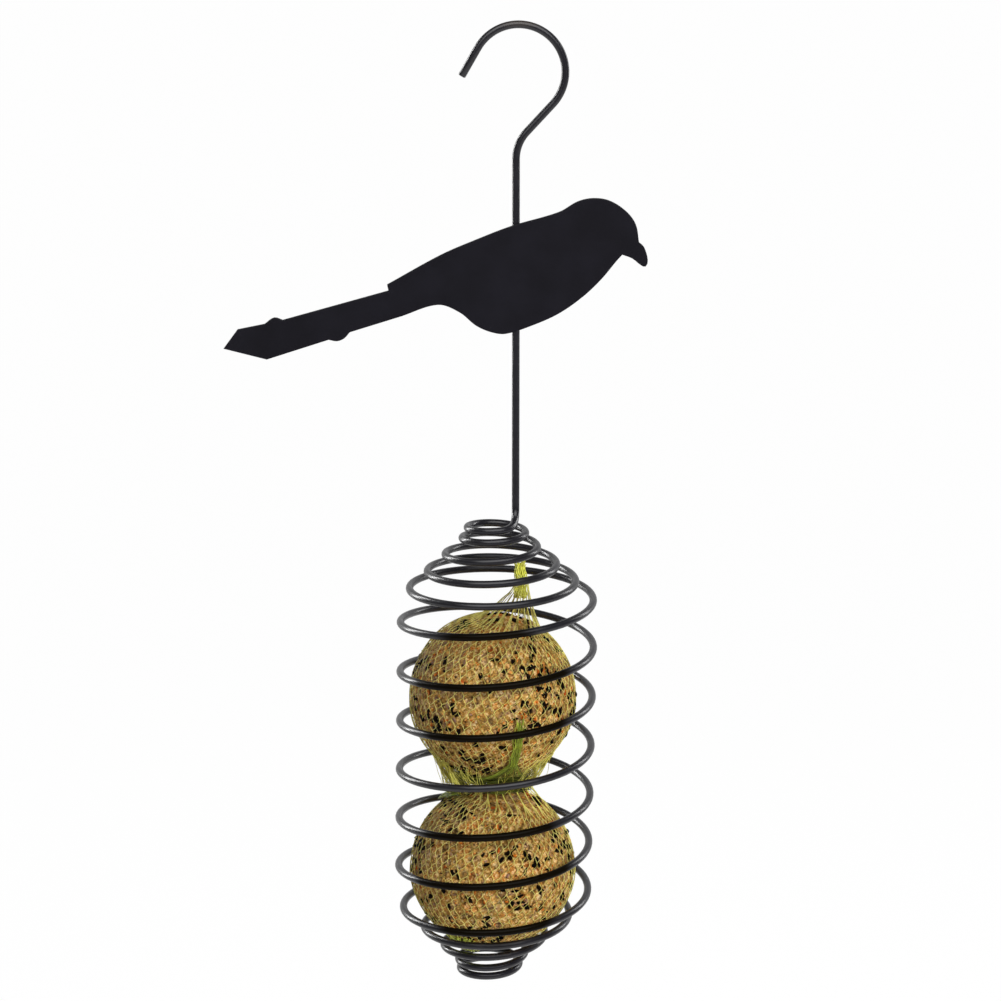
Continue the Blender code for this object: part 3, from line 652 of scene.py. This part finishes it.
# Painted shade: the pits' point attribute mixes the suet nearly black where it sinks between crumbs and in
# hollows
pits = add(tree, "ShaderNodeAttribute", attribute_name="pit_shade")
pit_shaded = add(tree, "ShaderNodeMix", {
    "Factor": pits.outputs["Fac"], "A": jointed.outputs["Result"], "B": linear("#0e0702")},
    data_type="RGBA")
specks = add(tree, "ShaderNodeTexVoronoi", {
    "Vector": torn.outputs["Vector"], "Scale": 0.33 * PER_MM, "Randomness": 1})
speck_dark = add(tree, "ShaderNodeMapRange", {
    "Value": specks.outputs["Distance"], "From Min": 0.13, "From Max": 0.20, "To Min": 0.9, "To Max": 0})
speckled = add(tree, "ShaderNodeMix", {
    "Factor": speck_dark.outputs["Result"], "A": pit_shaded.outputs["Result"], "B": linear("#250b08")},
    data_type="RGBA")
tree.links.new(speckled.outputs["Result"], shader.inputs["Base Color"])
grit = add(tree, "ShaderNodeTexNoise", {"Vector": place, "Scale": 1.5 * PER_MM, "Detail": 3})
rough = add(tree, "ShaderNodeBump", {
    "Height": grit.outputs["Fac"], "Strength": 0.8, "Distance": 0.0004})
tree.links.new(rough.outputs["Normal"], shader.inputs["Normal"])


def suet_surface(centre, seed):
    """Ball points pushed in and out by crumbs of two sizes and slow waves, and how much painted shade
    darkens each point in the pits.
    """
    points, quads = round_grid(BALL_CELLS)
    place = centre + BALL_RADIUS * points
    place = place + CRUMB_BEND * sway(place, CRUMB_BEND_SIZE, seed + 20)
    near, second = crumbs(place, CRUMB, seed)
    gap = np.clip((second - near) / CRUMB_EDGE, 0, 1)
    small_near, small_second = crumbs(place, SMALL_CRUMB, seed + 7)
    small_gap = np.clip((small_second - small_near) / SMALL_CRUMB_EDGE, 0, 1)
    dents = waves(place, DENT_SIZE, seed + 11)
    hollow = np.clip((waves(place, HOLLOW_SIZE, seed + 13) - HOLLOW_FROM) / HOLLOW_EDGE, 0, 1)
    rise = (CRUMB_RISE * gap + SMALL_CRUMB_RISE * small_gap + DENT_RISE * dents
            - HOLLOW_DEPTH * hollow - SKIN_DEPTH)
    # Painted shade in the recesses: how far to darken the colour between crumbs and in hollows
    pit_shade = np.clip(0.5 * (1 - gap) ** 2 * (0.25 + hollow) + 0.45 * hollow * (1 - small_gap), 0, 1)
    return centre + points * (BALL_RADIUS + rise)[:, None], quads, pit_shade


def scattered(centre, seed, count, cluster, half_sizes, sink):
    """Small torn lumps in clusters on a ball: unit balls stretched, torn, turned at random and sunk."""
    rng = np.random.default_rng(seed)
    groups = rng.normal(size=(max(1, count // cluster), 3))
    ways = unit(groups[rng.integers(len(groups), size=count)])
    ways = unit(ways + rng.normal(size=(count, 3)) * STRAY)
    along = unit(np.cross(ways, rng.normal(size=(count, 3))))
    frames = np.stack((along, np.cross(ways, along), ways), axis=1)
    points, quads = round_grid(SEED_CELLS)
    sizes = np.array(half_sizes) * rng.uniform(*SEED_SIZES, size=(count, 3))
    torn = rng.normal(size=(count, len(points), 1)).clip(-SEED_TEAR_LIMIT, SEED_TEAR_LIMIT)
    torn = 1 + SEED_TEAR * torn
    shapes = points * torn * sizes[:, None]
    turned = np.einsum("sni,sij->snj", shapes, frames)
    places = centre + ways * (BALL_RADIUS - sink)
    faces = quads + len(points) * np.arange(count)[:, None, None]
    return places[:, None] + turned, faces.reshape(-1, 4).tolist()


# Husks: split sunflower and rape seed coats, nearly black with a dull sheen
husk, tree, shader = new_material("black_seed_husk", 0.75, Specular_IOR_Level=0.06)
place = add(tree, "ShaderNodeTexCoord").outputs["Object"]
streaks = add(tree, "ShaderNodeTexNoise", {"Vector": place, "Scale": 0.7 * PER_MM, "Detail": 3})
tone = add(tree, "ShaderNodeValToRGB", {"Fac": streaks.outputs["Fac"]},
           stops=((0.45, "#060301"), (0.62, "#120904"), (0.74, "#33251a")))
tree.links.new(tone.outputs["Color"], shader.inputs["Base Color"])

# Grains: flaked oats and bruised maize, cream, orange or grey-pink, matt with a dusty skin
oat, tree, shader = new_material("bruised_grain", 0.72, Specular_IOR_Level=0.15)
place = add(tree, "ShaderNodeTexCoord").outputs["Object"]
kinds = add(tree, "ShaderNodeTexNoise", {"Vector": place, "Scale": 0.36 * PER_MM, "Detail": 1})
tone = add(tree, "ShaderNodeValToRGB", {"Fac": kinds.outputs["Fac"]}, stops=(
    (0.34, "#8f6f58"), (0.46, "#b08541"), (0.54, "#d0a75e"), (0.62, "#c4691f"), (0.70, "#a34a12")))
dust = add(tree, "ShaderNodeTexNoise", {"Vector": place, "Scale": 1.3 * PER_MM, "Detail": 2})
dusted = add(tree, "ShaderNodeMix", {
    "Factor": 0.55, "A": tone.outputs["Color"], "B": dust.outputs["Color"]},
    data_type="RGBA", blend_type="SOFT_LIGHT")
tree.links.new(dusted.outputs["Result"], shader.inputs["Base Color"])

for level, centre, seed in (("upper", UPPER_CENTRE, 3), ("lower", LOWER_CENTRE, 41)):
    points, quads, pit_shade = suet_surface(centre, seed)
    ball = new_piece(f"{level}_suet", points, quads.tolist(), suet)
    # The pits' painted shade, kept as a point attribute for the suet material
    ball.data.attributes.new("pit_shade", "FLOAT", "POINT").data.foreach_set("value", pit_shade.astype(np.float32))
    points, faces = scattered(centre, seed + 1, **HUSKS)
    husks = new_piece(f"{level}_husks", points, faces, husk)
    points, faces = scattered(centre, seed + 2, **GRAINS)
    grains = new_piece(f"{level}_grains", points, faces, oat)
    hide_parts(f"{level}_suet_ball")
    for piece in (ball, husks, grains):
        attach(piece, f"{level}_ball")


# Nets: thin extruded strands in small diamonds, one bag round each ball.  Where two strands
# meet they run side by side a little way.  The net is drawn tight, stands off the ball
# here and there, and leaves it in straight skirts that run together into gathered ends.

UPRIGHT = np.array((0.0, 0, 1.0))
RIGHT = np.array((1.0, 0, 0))
NET_COLUMNS = 54
HALF_ROW_ANGLE = math.pi / 33
STATIONS_PER_HALF_ROW = 5
SIDE_BY_SIDE_SHARE = 0.75
NET_STRAND_RADIUS = 0.00012
NET_RADIUS = 0.03130
NET_LIFT = 0.0009
NET_LIFT_SIZE = 0.0160
NET_PULL = 0.026
NET_PULL_SIZES = (0.0085, 0.0030)
NET_GREEN_POWER = 2.5
NET_TILT = math.radians(13)
FOOT_TILT = math.radians(18)
TOP_LEAN = np.array((math.sin(NET_TILT), 0, math.cos(NET_TILT)))
FOOT_LEAN = np.array((-math.sin(FOOT_TILT), 0, -math.cos(FOOT_TILT)))
NET_AXES = np.array(((math.cos(NET_TILT), 0, -math.sin(NET_TILT)), (0, 1, 0), TOP_LEAN))
SKIRT_STATIONS = 16
SKIRT_SWAY = 0.00030
SKIRT_SWAY_SIZE = 0.0040
CORD_HOLD = 0.92
CORD_START = 0.45
STRAND_ROOM = 0.0002


def clear_of(points, centre, reach):
    """Points nearer to a ball's centre than this reach are moved straight out to it."""
    away = points - centre
    length = np.linalg.norm(away, axis=-1, keepdims=True)
    return centre + away * np.maximum(1, reach / length)


def ball_way(fall, azimuth, end):
    """Way from a ball's centre, by its degrees from straight up (end 1) or down (-1) and its azimuth."""
    fall, azimuth = np.radians(fall), np.radians(azimuth)
    level = np.sin(fall)
    return np.stack((level * np.cos(azimuth), level * np.sin(azimuth), end * np.cos(fall)), axis=-1)


def net_strands(centre, seed, top, foot):
    """Both families of strands: round the ball as they rise, then on cubic curves into its ends."""
    sweep = math.pi - top["angle"] - foot["angle"]
    count = round(sweep / HALF_ROW_ANGLE)
    rows = np.linspace(0, count, count * STATIONS_PER_HALF_ROW + 1)
    shift = (rows - SIDE_BY_SIDE_SHARE * np.sin(2 * math.pi * rows) / (2 * math.pi)) / 2
    column = np.arange(NET_COLUMNS)[:, None]
    turn = np.concatenate((column + shift, column - shift)) * 2 * math.pi / NET_COLUMNS
    fall = np.broadcast_to(top["angle"] + sweep * rows / count, turn.shape)
    way = np.stack((np.sin(fall) * np.cos(turn), np.sin(fall) * np.sin(turn), np.cos(fall)), axis=-1)
    way = way @ NET_AXES
    place = centre + NET_RADIUS * way
    pull = sway(place, NET_PULL_SIZES[0], seed) + 0.5 * sway(place, NET_PULL_SIZES[1], seed + 5)
    way = unit(way + NET_PULL * pull)
    lift = NET_LIFT * np.clip(waves(place, NET_LIFT_SIZE, seed + 9) + 0.1, 0, 1)
    bag = centre + way * (NET_RADIUS + lift)[..., None]
    parts = [bag]
    green = [np.zeros(turn.shape)]
    for side, inside, end in ((0, 3, top), (-1, -4, foot)):
        start = bag[:, side]
        inner = bag[:, inside]
        angle = turn[:, side][:, None]
        deep = np.cross(end["run"], RIGHT)
        meet = (end["place"] + end["width"] * np.cos(angle) * RIGHT
                + end["depth"] * np.sin(angle) * deep)
        leave = start + unit(start - inner) * end["handle"]
        arrive = meet - end["run"] * end["handle"]
        share = np.linspace(0, 1, SKIRT_STATIONS + 1)[1:, None]
        ends = (start[:, None], leave[:, None], arrive[:, None], meet[:, None])
        skirt = bezier(*ends, SKIRT_STATIONS + 1)[:, 1:]
        cord = np.round(turn[:, side] * end["cords"] / (2 * math.pi)).astype(int) % end["cords"]
        middle = np.zeros((end["cords"],) + skirt.shape[1:])
        np.add.at(middle, cord, skirt)
        middle /= np.bincount(cord, minlength=end["cords"])[:, None, None]
        skirt += (middle[cord] - skirt) * CORD_HOLD * np.clip(share / CORD_START, 0, 1)
        skirt += SKIRT_SWAY * sway(skirt, SKIRT_SWAY_SIZE, seed + 30)
        for other in (UPPER_CENTRE, LOWER_CENTRE):
            skirt = clear_of(skirt, other, NET_RADIUS + STRAND_ROOM)
        tone = np.broadcast_to(end["green"] * share[:, 0] ** NET_GREEN_POWER, skirt.shape[:2])
        if side == 0:
            parts.insert(0, skirt[:, ::-1])
            green.insert(0, tone[:, ::-1])
        else:
            parts.append(skirt)
            green.append(tone)
    return np.concatenate(parts, axis=1), np.concatenate(green, axis=1)


# Extruded polyethylene net: thin glossy strands that let light through, pale yellow one by
# one, lime and then full green where many lie on each other, darkest olive at the collar and
# the tails between the balls, which is partly painted shade, and dulled by fat in places
net_plastic, tree, shader = new_material("yellow_green_polyethylene_net", 0.42, Specular_IOR_Level=0.3)
place = add(tree, "ShaderNodeTexCoord").outputs["Object"]
stacked = add(tree, "ShaderNodeAttribute", attribute_name="gathered")
# Partly painted shade: the darkest olive stops are reached by the collar and the tails that lie between
# the balls
plastic = add(tree, "ShaderNodeValToRGB", {"Fac": stacked.outputs["Fac"]}, stops=(
    (0.0, "#efe98e"), (0.30, "#fffe72"), (0.60, "#a5b639"), (0.80, "#78832c"), (1.0, "#393c15")))
tint = add(tree, "ShaderNodeTexNoise", {"Vector": place, "Scale": 0.26 * PER_MM, "Detail": 3})
greasy = add(tree, "ShaderNodeValToRGB", {"Fac": tint.outputs["Fac"]},
             stops=((0.36, "#b5a67c"), (0.46, "#efeadb"), (0.54, "#ffffff")))
fat = add(tree, "ShaderNodeMapRange", {
    "Value": stacked.outputs["Fac"], "From Min": 0.1, "From Max": 0.3, "To Min": 1, "To Max": 0.4})
tone = add(tree, "ShaderNodeMix", {
    "Factor": fat.outputs["Result"], "A": plastic.outputs["Color"], "B": greasy.outputs["Color"]},
    data_type="RGBA", blend_type="MULTIPLY")
tree.links.new(tone.outputs["Result"], shader.inputs["Base Color"])
through = add(tree, "ShaderNodeBsdfTranslucent", {"Color": tone.outputs["Result"]})
thinness = add(tree, "ShaderNodeMapRange", {
    "Value": stacked.outputs["Fac"], "From Min": 0.1, "From Max": 0.3, "To Min": 0.45, "To Max": 0.18})
shared = add(tree, "ShaderNodeMixShader", {
    0: thinness.outputs["Result"], 1: shader.outputs["BSDF"], 2: through.outputs["BSDF"]})
tree.links.new(shared.outputs["Shader"], tree.nodes["Material Output"].inputs["Surface"])


def strand_piece(name, paths, outs, radius, green, body=None):
    """Net strands as one piece, with how stacked each is; it rides with a body if one is given."""
    points, faces = tubes(paths, outs, np.full(paths.shape[:2], radius), 4)
    piece = new_piece(name, points, faces, net_plastic)
    tone = np.broadcast_to(np.asarray(green, float), paths.shape[:2])
    attribute = piece.data.attributes.new("gathered", "FLOAT", "POINT")
    attribute.data.foreach_set("value", np.repeat(tone.ravel(), 4).astype(np.float32))
    if body:
        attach(piece, body)
    return piece


# Each gathered end: its place and the way its strands run there, the half width and half depth
# of the gather, the reach of the curves into it, where the bag's diamonds stop, how green the
# strands are at the gather, and how many cords they run together in
PINCH = (UPPER_CENTRE + LOWER_CENTRE) / 2
upper_top = {"place": np.array((0.0014, -0.0005, -0.2040)), "run": UPRIGHT,
             "width": 0.0024, "depth": 0.0018, "handle": 0.0034, "angle": math.radians(25), "green": 0.25,
             "cords": 22}
upper_foot = {"place": PINCH + (-0.0122, -0.0030, 0.0011), "run": -UPRIGHT,
              "width": 0.0034, "depth": 0.0022, "handle": 0.0040, "angle": math.radians(40), "green": 0.4,
              "cords": 19}
lower_top = {"place": PINCH + (0.0032, -0.0010, 0.0006), "run": UPRIGHT,
             "width": 0.0105, "depth": 0.0085, "handle": 0.0025, "angle": math.radians(31), "green": 0.6,
             "cords": 24}
lower_foot = {"place": LOWER_CENTRE + FOOT_LEAN * 0.0325, "run": FOOT_LEAN,
              "width": 0.0018, "depth": 0.0012, "handle": 0.0030, "angle": math.radians(22), "green": 0.3,
              "cords": 20}
for level, centre, seed, top, foot in (
        ("upper", UPPER_CENTRE, 60, upper_top, upper_foot),
        ("lower", LOWER_CENTRE, 80, lower_top, lower_foot)):
    paths, green = net_strands(centre, seed, top, foot)
    net = strand_piece(f"{level}_net", paths, unit(paths - centre), NET_STRAND_RADIUS, green,
                       f"{level}_ball")
    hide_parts(f"{level}_net_bag")


# Gathered ends: past each gather the strands of a net lie side by side in a green tail.  The
# upper net's top tail stands free, the two between the balls are pressed along the
# neighbouring ball, and the lower net's foot tail is pressed to its ball at the front left.

TAIL_STRAND_RADIUS = 0.00015
TAIL_STATIONS = 22
LINE_STEPS = 30
TAIL_WANDER = 0.18
TAIL_BEATS = (2, 7)
TOP_TAIL_STRANDS = 54
TOP_TAIL_ROOT = 0.0060
TOP_TAIL_HANDLE = 0.005
TOP_TAIL_END = np.array((0.0010, -0.0010, -0.1945))
TOP_TAIL_WIDTHS = ((0, 0.25, 0.55, 1), (0.0027, 0.0025, 0.0021, 0.0023))
SIDE_TAIL_AZIMUTH = -73
SIDE_TAIL_STRANDS = 24
SIDE_TAIL_FALLS = (50, 91)
SIDE_TAIL_REACH = 0.0322
SIDE_TAIL_WIDTHS = (0.0018, 0.0022)
SIDE_TAIL_DEPTHS = (0.0004, 0.0004)
SIDE_TAIL_ROOM = 0.0003
FAN_STRANDS = 34
FAN_START_FALL = 23.0
FAN_END_FALL = 55
FAN_END_RAGGED = 3
FAN_END_SPREAD = 0.012
FAN_AZIMUTHS = (-168, -12)
FAN_REACH = 0.0318
FAN_DEPTH = 0.0004
FAN_SWAY = 0.012
HIDDEN_TAIL_STRANDS = 46
HIDDEN_TAIL_FALLS = (21, 46)
HIDDEN_TAIL_AZIMUTHS = (190, 140)
HIDDEN_TAIL_REACH = 0.0327
HIDDEN_TAIL_WIDTHS = (0.0026, 0.0026)
HIDDEN_TAIL_DEPTHS = (0.0010, 0.0005)
HIDDEN_TAIL_ROOM = 0.0006
TUFT_STRANDS = 150
TUFT_FALLS = (32, 50)
TUFT_AZIMUTH = (238, 9)
TUFT_REACH = 0.0317
TUFT_ROOT_SPREAD = 0.05
TUFT_SWAY = 0.00025

# How far out a strand of the tuft may lie, by its angle from straight down: the turns that draw
# in under the ball come near it from about 30 degrees on
TUFT_ROOM = ((22, 30), (0.0338, 0.0321))


def bunch(line, side, deep, half_width, half_depth, count, seed, least_share):
    """Strands at random places of an ellipse carried along a line, wandering a little and cut unevenly."""
    rng = np.random.default_rng(seed)
    grid = np.linspace(0, 1, len(line))
    share = np.linspace(0, 1, TAIL_STATIONS) * rng.uniform(least_share, 1, size=(count, 1))

    def read(values):
        values = np.asarray(values, float).reshape(len(line), -1)
        return np.stack([np.interp(share, grid, column) for column in values.T], axis=-1)

    angle = rng.uniform(0, 2 * math.pi, size=(count, 1))
    reach = np.sqrt(rng.uniform(0, 1, size=(count, 1)))
    beat = rng.uniform(*TAIL_BEATS, size=(count, 1))
    phase = rng.uniform(0, 2 * math.pi, size=(count, 1))
    wander = TAIL_WANDER * np.sin(beat * share * math.pi + phase)
    across = (reach * np.cos(angle) + wander)[..., None]
    inward = (reach * np.sin(angle) + 0.7 * np.roll(wander, 3, axis=0))[..., None]
    return read(line) + read(side) * read(half_width) * across + read(deep) * read(half_depth) * inward


def tones(low, high, count, seed):
    """A random share of green for each strand."""
    return np.random.default_rng(seed).uniform(low, high, size=(count, 1))


def even(start, end):
    """Numbers or points from start to end in even steps, one for each step of a line."""
    return np.linspace(np.asarray(start, float), np.asarray(end, float), LINE_STEPS)


def along_ball(centre, falls, azimuths, end, reach):
    """A line over a ball at this distance from its centre, with its sideways and outward directions."""
    way = ball_way(even(*falls), even(*azimuths), end)
    line = centre + way * reach
    return line, unit(np.cross(np.gradient(line, axis=0), way)), way


start = upper_top["place"] - UPRIGHT * TOP_TAIL_ROOT
line = bezier(start, start + UPRIGHT * TOP_TAIL_HANDLE,
              TOP_TAIL_END - UPRIGHT * TOP_TAIL_HANDLE, TOP_TAIL_END, LINE_STEPS)
width = np.interp(np.linspace(0, 1, LINE_STEPS), *TOP_TAIL_WIDTHS)
paths = bunch(line, even(RIGHT, RIGHT), even((0, 1, 0), (0, 1, 0)), width, 0.8 * width,
              TOP_TAIL_STRANDS, seed=5, least_share=0.80)
tail = strand_piece("upper_net_top_tail", paths, unit(paths - UPPER_CENTRE + (0, 0.3, 0)),
                    TAIL_STRAND_RADIUS, tones(0.26, 0.42, len(paths), 1), "upper_ball")
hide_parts("upper_net_top_tie")
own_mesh(tail)

azimuths = (SIDE_TAIL_AZIMUTH, SIDE_TAIL_AZIMUTH + 1)
line, side, deep = along_ball(UPPER_CENTRE, SIDE_TAIL_FALLS, azimuths, -1, SIDE_TAIL_REACH)
stripe = bunch(line, side, deep, even(*SIDE_TAIL_WIDTHS), even(*SIDE_TAIL_DEPTHS),
               SIDE_TAIL_STRANDS, seed=9, least_share=0.70)
azimuth = np.linspace(*FAN_AZIMUTHS, FAN_STRANDS)
fan_start = ball_way(np.full(FAN_STRANDS, FAN_START_FALL), azimuth, -1)
fan_end = ball_way(FAN_END_FALL + FAN_END_RAGGED * np.sin(azimuth),
                   SIDE_TAIL_AZIMUTH + FAN_END_SPREAD * (azimuth + 90), -1)
share = np.linspace(0, 1, TAIL_STATIONS)[None, :, None]
fan_way = unit(fan_start[:, None] * (1 - share) + fan_end[:, None] * share)
fan_way = unit(fan_way + FAN_SWAY * sway(fan_way * 0.03, 0.0045, 90))
fan = UPPER_CENTRE + fan_way * (FAN_REACH + FAN_DEPTH * np.abs(np.sin(7 * azimuth)))[:, None, None]
paths = clear_of(np.concatenate((stripe, fan)), UPPER_CENTRE, NET_RADIUS + SIDE_TAIL_ROOM)
green = np.concatenate((tones(0.50, 0.85, len(stripe), 2), tones(0.65, 0.95, len(fan), 3)))
tail = strand_piece("lower_net_top_tail", paths, unit(paths - UPPER_CENTRE),
                    TAIL_STRAND_RADIUS, green, "lower_ball")
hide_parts("lower_net_top_tie")

line, side, deep = along_ball(
    LOWER_CENTRE, HIDDEN_TAIL_FALLS, HIDDEN_TAIL_AZIMUTHS, 1, HIDDEN_TAIL_REACH)
line[0] = upper_foot["place"] + UPRIGHT * 0.001
paths = bunch(line, side, deep, even(*HIDDEN_TAIL_WIDTHS), even(*HIDDEN_TAIL_DEPTHS),
              HIDDEN_TAIL_STRANDS, seed=11, least_share=0.6)
paths = clear_of(paths, LOWER_CENTRE, NET_RADIUS + HIDDEN_TAIL_ROOM)
tail = strand_piece("upper_net_foot_tail", paths, unit(paths - LOWER_CENTRE), TAIL_STRAND_RADIUS,
                    tones(0.4, 0.9, len(paths), 4), "upper_ball")
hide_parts("upper_net_foot_tie")

rng = np.random.default_rng(15)
share = np.linspace(0, 1, TAIL_STATIONS)[:, None]
roots = unit(FOOT_LEAN + rng.normal(size=(TUFT_STRANDS, 3)) * TUFT_ROOT_SPREAD)
falls = rng.uniform(*TUFT_FALLS, TUFT_STRANDS)
ends = ball_way(falls, rng.normal(*TUFT_AZIMUTH, TUFT_STRANDS), -1)
limit = np.interp(np.linspace(0, 1, TAIL_STATIONS) * falls[:, None], *TUFT_ROOM)
reach = TUFT_REACH + rng.uniform(0, 1, size=(TUFT_STRANDS, 1, 1)) * (limit - TUFT_REACH)[..., None]
paths = LOWER_CENTRE + unit(roots[:, None] * (1 - share) + ends[:, None] * share) * reach
paths += TUFT_SWAY * sway(paths, 0.0030, 120)
tail = strand_piece("lower_net_foot_tail", paths, unit(paths - LOWER_CENTRE + (0, 0.3, 0)),
                    TAIL_STRAND_RADIUS, tones(0.35, 0.60, len(paths), 5), "lower_ball")
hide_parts("lower_net_foot_tie")


# Collar and slack: between the balls the lower net is bunched in a loose ring, and thin loose
# strands of the upper net hang into it, mostly at the left, the right and the back.  This
# slack stretches as the upper ball lifts.

COLLAR_RADIUS = 0.0132
COLLAR_RISE = 0.0024
COLLAR_SPREAD = (0.0027, 0.0033)
COLLAR_STRANDS = 270
COLLAR_STATIONS = 30
COLLAR_SPANS = (0.8, 2.4)
COLLAR_BEATS = (2, 6)
COLLAR_WAVE = 0.25
COLLAR_ROOM = 0.0004
SLACK_STRANDS = 260
BACK_SLACK_STRANDS = 170
SLACK_STRAND_RADIUS = 0.00009
SLACK_FALLS = (34, 53)
SLACK_RING = (0.0125, 0.0165)
SLACK_RING_SPREAD = 0.0035
SLACK_ENDS = (-0.0020, 0.0030)
SLACK_TWIST = 14
SLACK_BOW = 0.0016
SLACK_SWAY = 0.0004

# Where strands of slack start: their azimuth and how far it varies, in degrees
SLACK_LEFT = (188, 24)
SLACK_RIGHT = (-5, 25)
SLACK_BACK = (90, 34)


def collar_strands():
    """Strands round the balls' axis: radius and height at random places of an ellipse, with slow waves."""
    rng = np.random.default_rng(21)
    begin = rng.uniform(0, 2 * math.pi, size=(COLLAR_STRANDS, 1))
    span = rng.uniform(*COLLAR_SPANS, size=(COLLAR_STRANDS, 1))
    angle = begin + span * np.linspace(0, 1, COLLAR_STATIONS)
    place = rng.uniform(0, 2 * math.pi, size=(COLLAR_STRANDS, 1))
    reach = np.sqrt(rng.uniform(0, 1, size=(COLLAR_STRANDS, 1)))
    beat = rng.uniform(*COLLAR_BEATS, size=(COLLAR_STRANDS, 1))
    phase = rng.uniform(0, 2 * math.pi, size=(COLLAR_STRANDS, 1))
    sideways = COLLAR_WAVE * np.sin(beat * angle + phase)
    upward = COLLAR_WAVE * np.sin(beat * angle + 2 * phase)
    out = COLLAR_RADIUS + COLLAR_SPREAD[0] * (reach * np.cos(place) + sideways)
    up = COLLAR_SPREAD[1] * (reach * np.sin(place) + upward)
    up = PINCH[2] + up + COLLAR_RISE * (0.3 - np.sin(angle))
    paths = np.stack((BALL_X + out * np.cos(angle), out * np.sin(angle), up), axis=-1)
    for centre in (UPPER_CENTRE, LOWER_CENTRE):
        paths = clear_of(paths, centre, NET_RADIUS + COLLAR_ROOM)
    return paths


def slack_strands(azimuth, rng):
    """Strands from the upper ball's underside to the collar: straight between both, bowed out a little."""
    count = len(azimuth)
    falls = rng.uniform(*SLACK_FALLS, count)
    start = UPPER_CENTRE + ball_way(falls, azimuth, -1) * NET_RADIUS
    turned = np.radians(azimuth + rng.normal(0, SLACK_TWIST, count))
    out = rng.uniform(*SLACK_RING, count)
    out[::2] += rng.uniform(0, SLACK_RING_SPREAD, len(out[::2]))
    end = np.stack((BALL_X + out * np.cos(turned), out * np.sin(turned),
                    PINCH[2] + rng.uniform(*SLACK_ENDS, count)), axis=-1)
    share = np.linspace(0, 1, TAIL_STATIONS)[None, :, None]
    paths = start[:, None] * (1 - share) + end[:, None] * share
    paths += ball_way(np.full(count, 90.0), azimuth, 1)[:, None] * SLACK_BOW * share * (1 - share)
    paths += SLACK_SWAY * sway(paths, 0.0042, 140)
    for centre in (UPPER_CENTRE, LOWER_CENTRE):
        paths = clear_of(paths, centre, NET_RADIUS + STRAND_ROOM)
    return paths


rng = np.random.default_rng(33)
azimuth = np.degrees(rng.uniform(0, 2 * math.pi, SLACK_STRANDS))
azimuth[::2] = rng.normal(*SLACK_LEFT, len(azimuth[::2]))
azimuth[1::4] = rng.normal(*SLACK_RIGHT, len(azimuth[1::4]))
paths = np.concatenate((slack_strands(azimuth, rng),
                        slack_strands(rng.normal(*SLACK_BACK, BACK_SLACK_STRANDS), rng)))
slack = strand_piece("net_slack", paths, unit(paths - PINCH), SLACK_STRAND_RADIUS,
                     tones(0.0, 0.20, len(paths), 7))
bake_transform(slack)

paths = collar_strands()
strand_piece("lower_net_collar", paths, unit(paths - PINCH), TAIL_STRAND_RADIUS,
             tones(0.85, 1.0, len(paths), 6), "lower_ball")
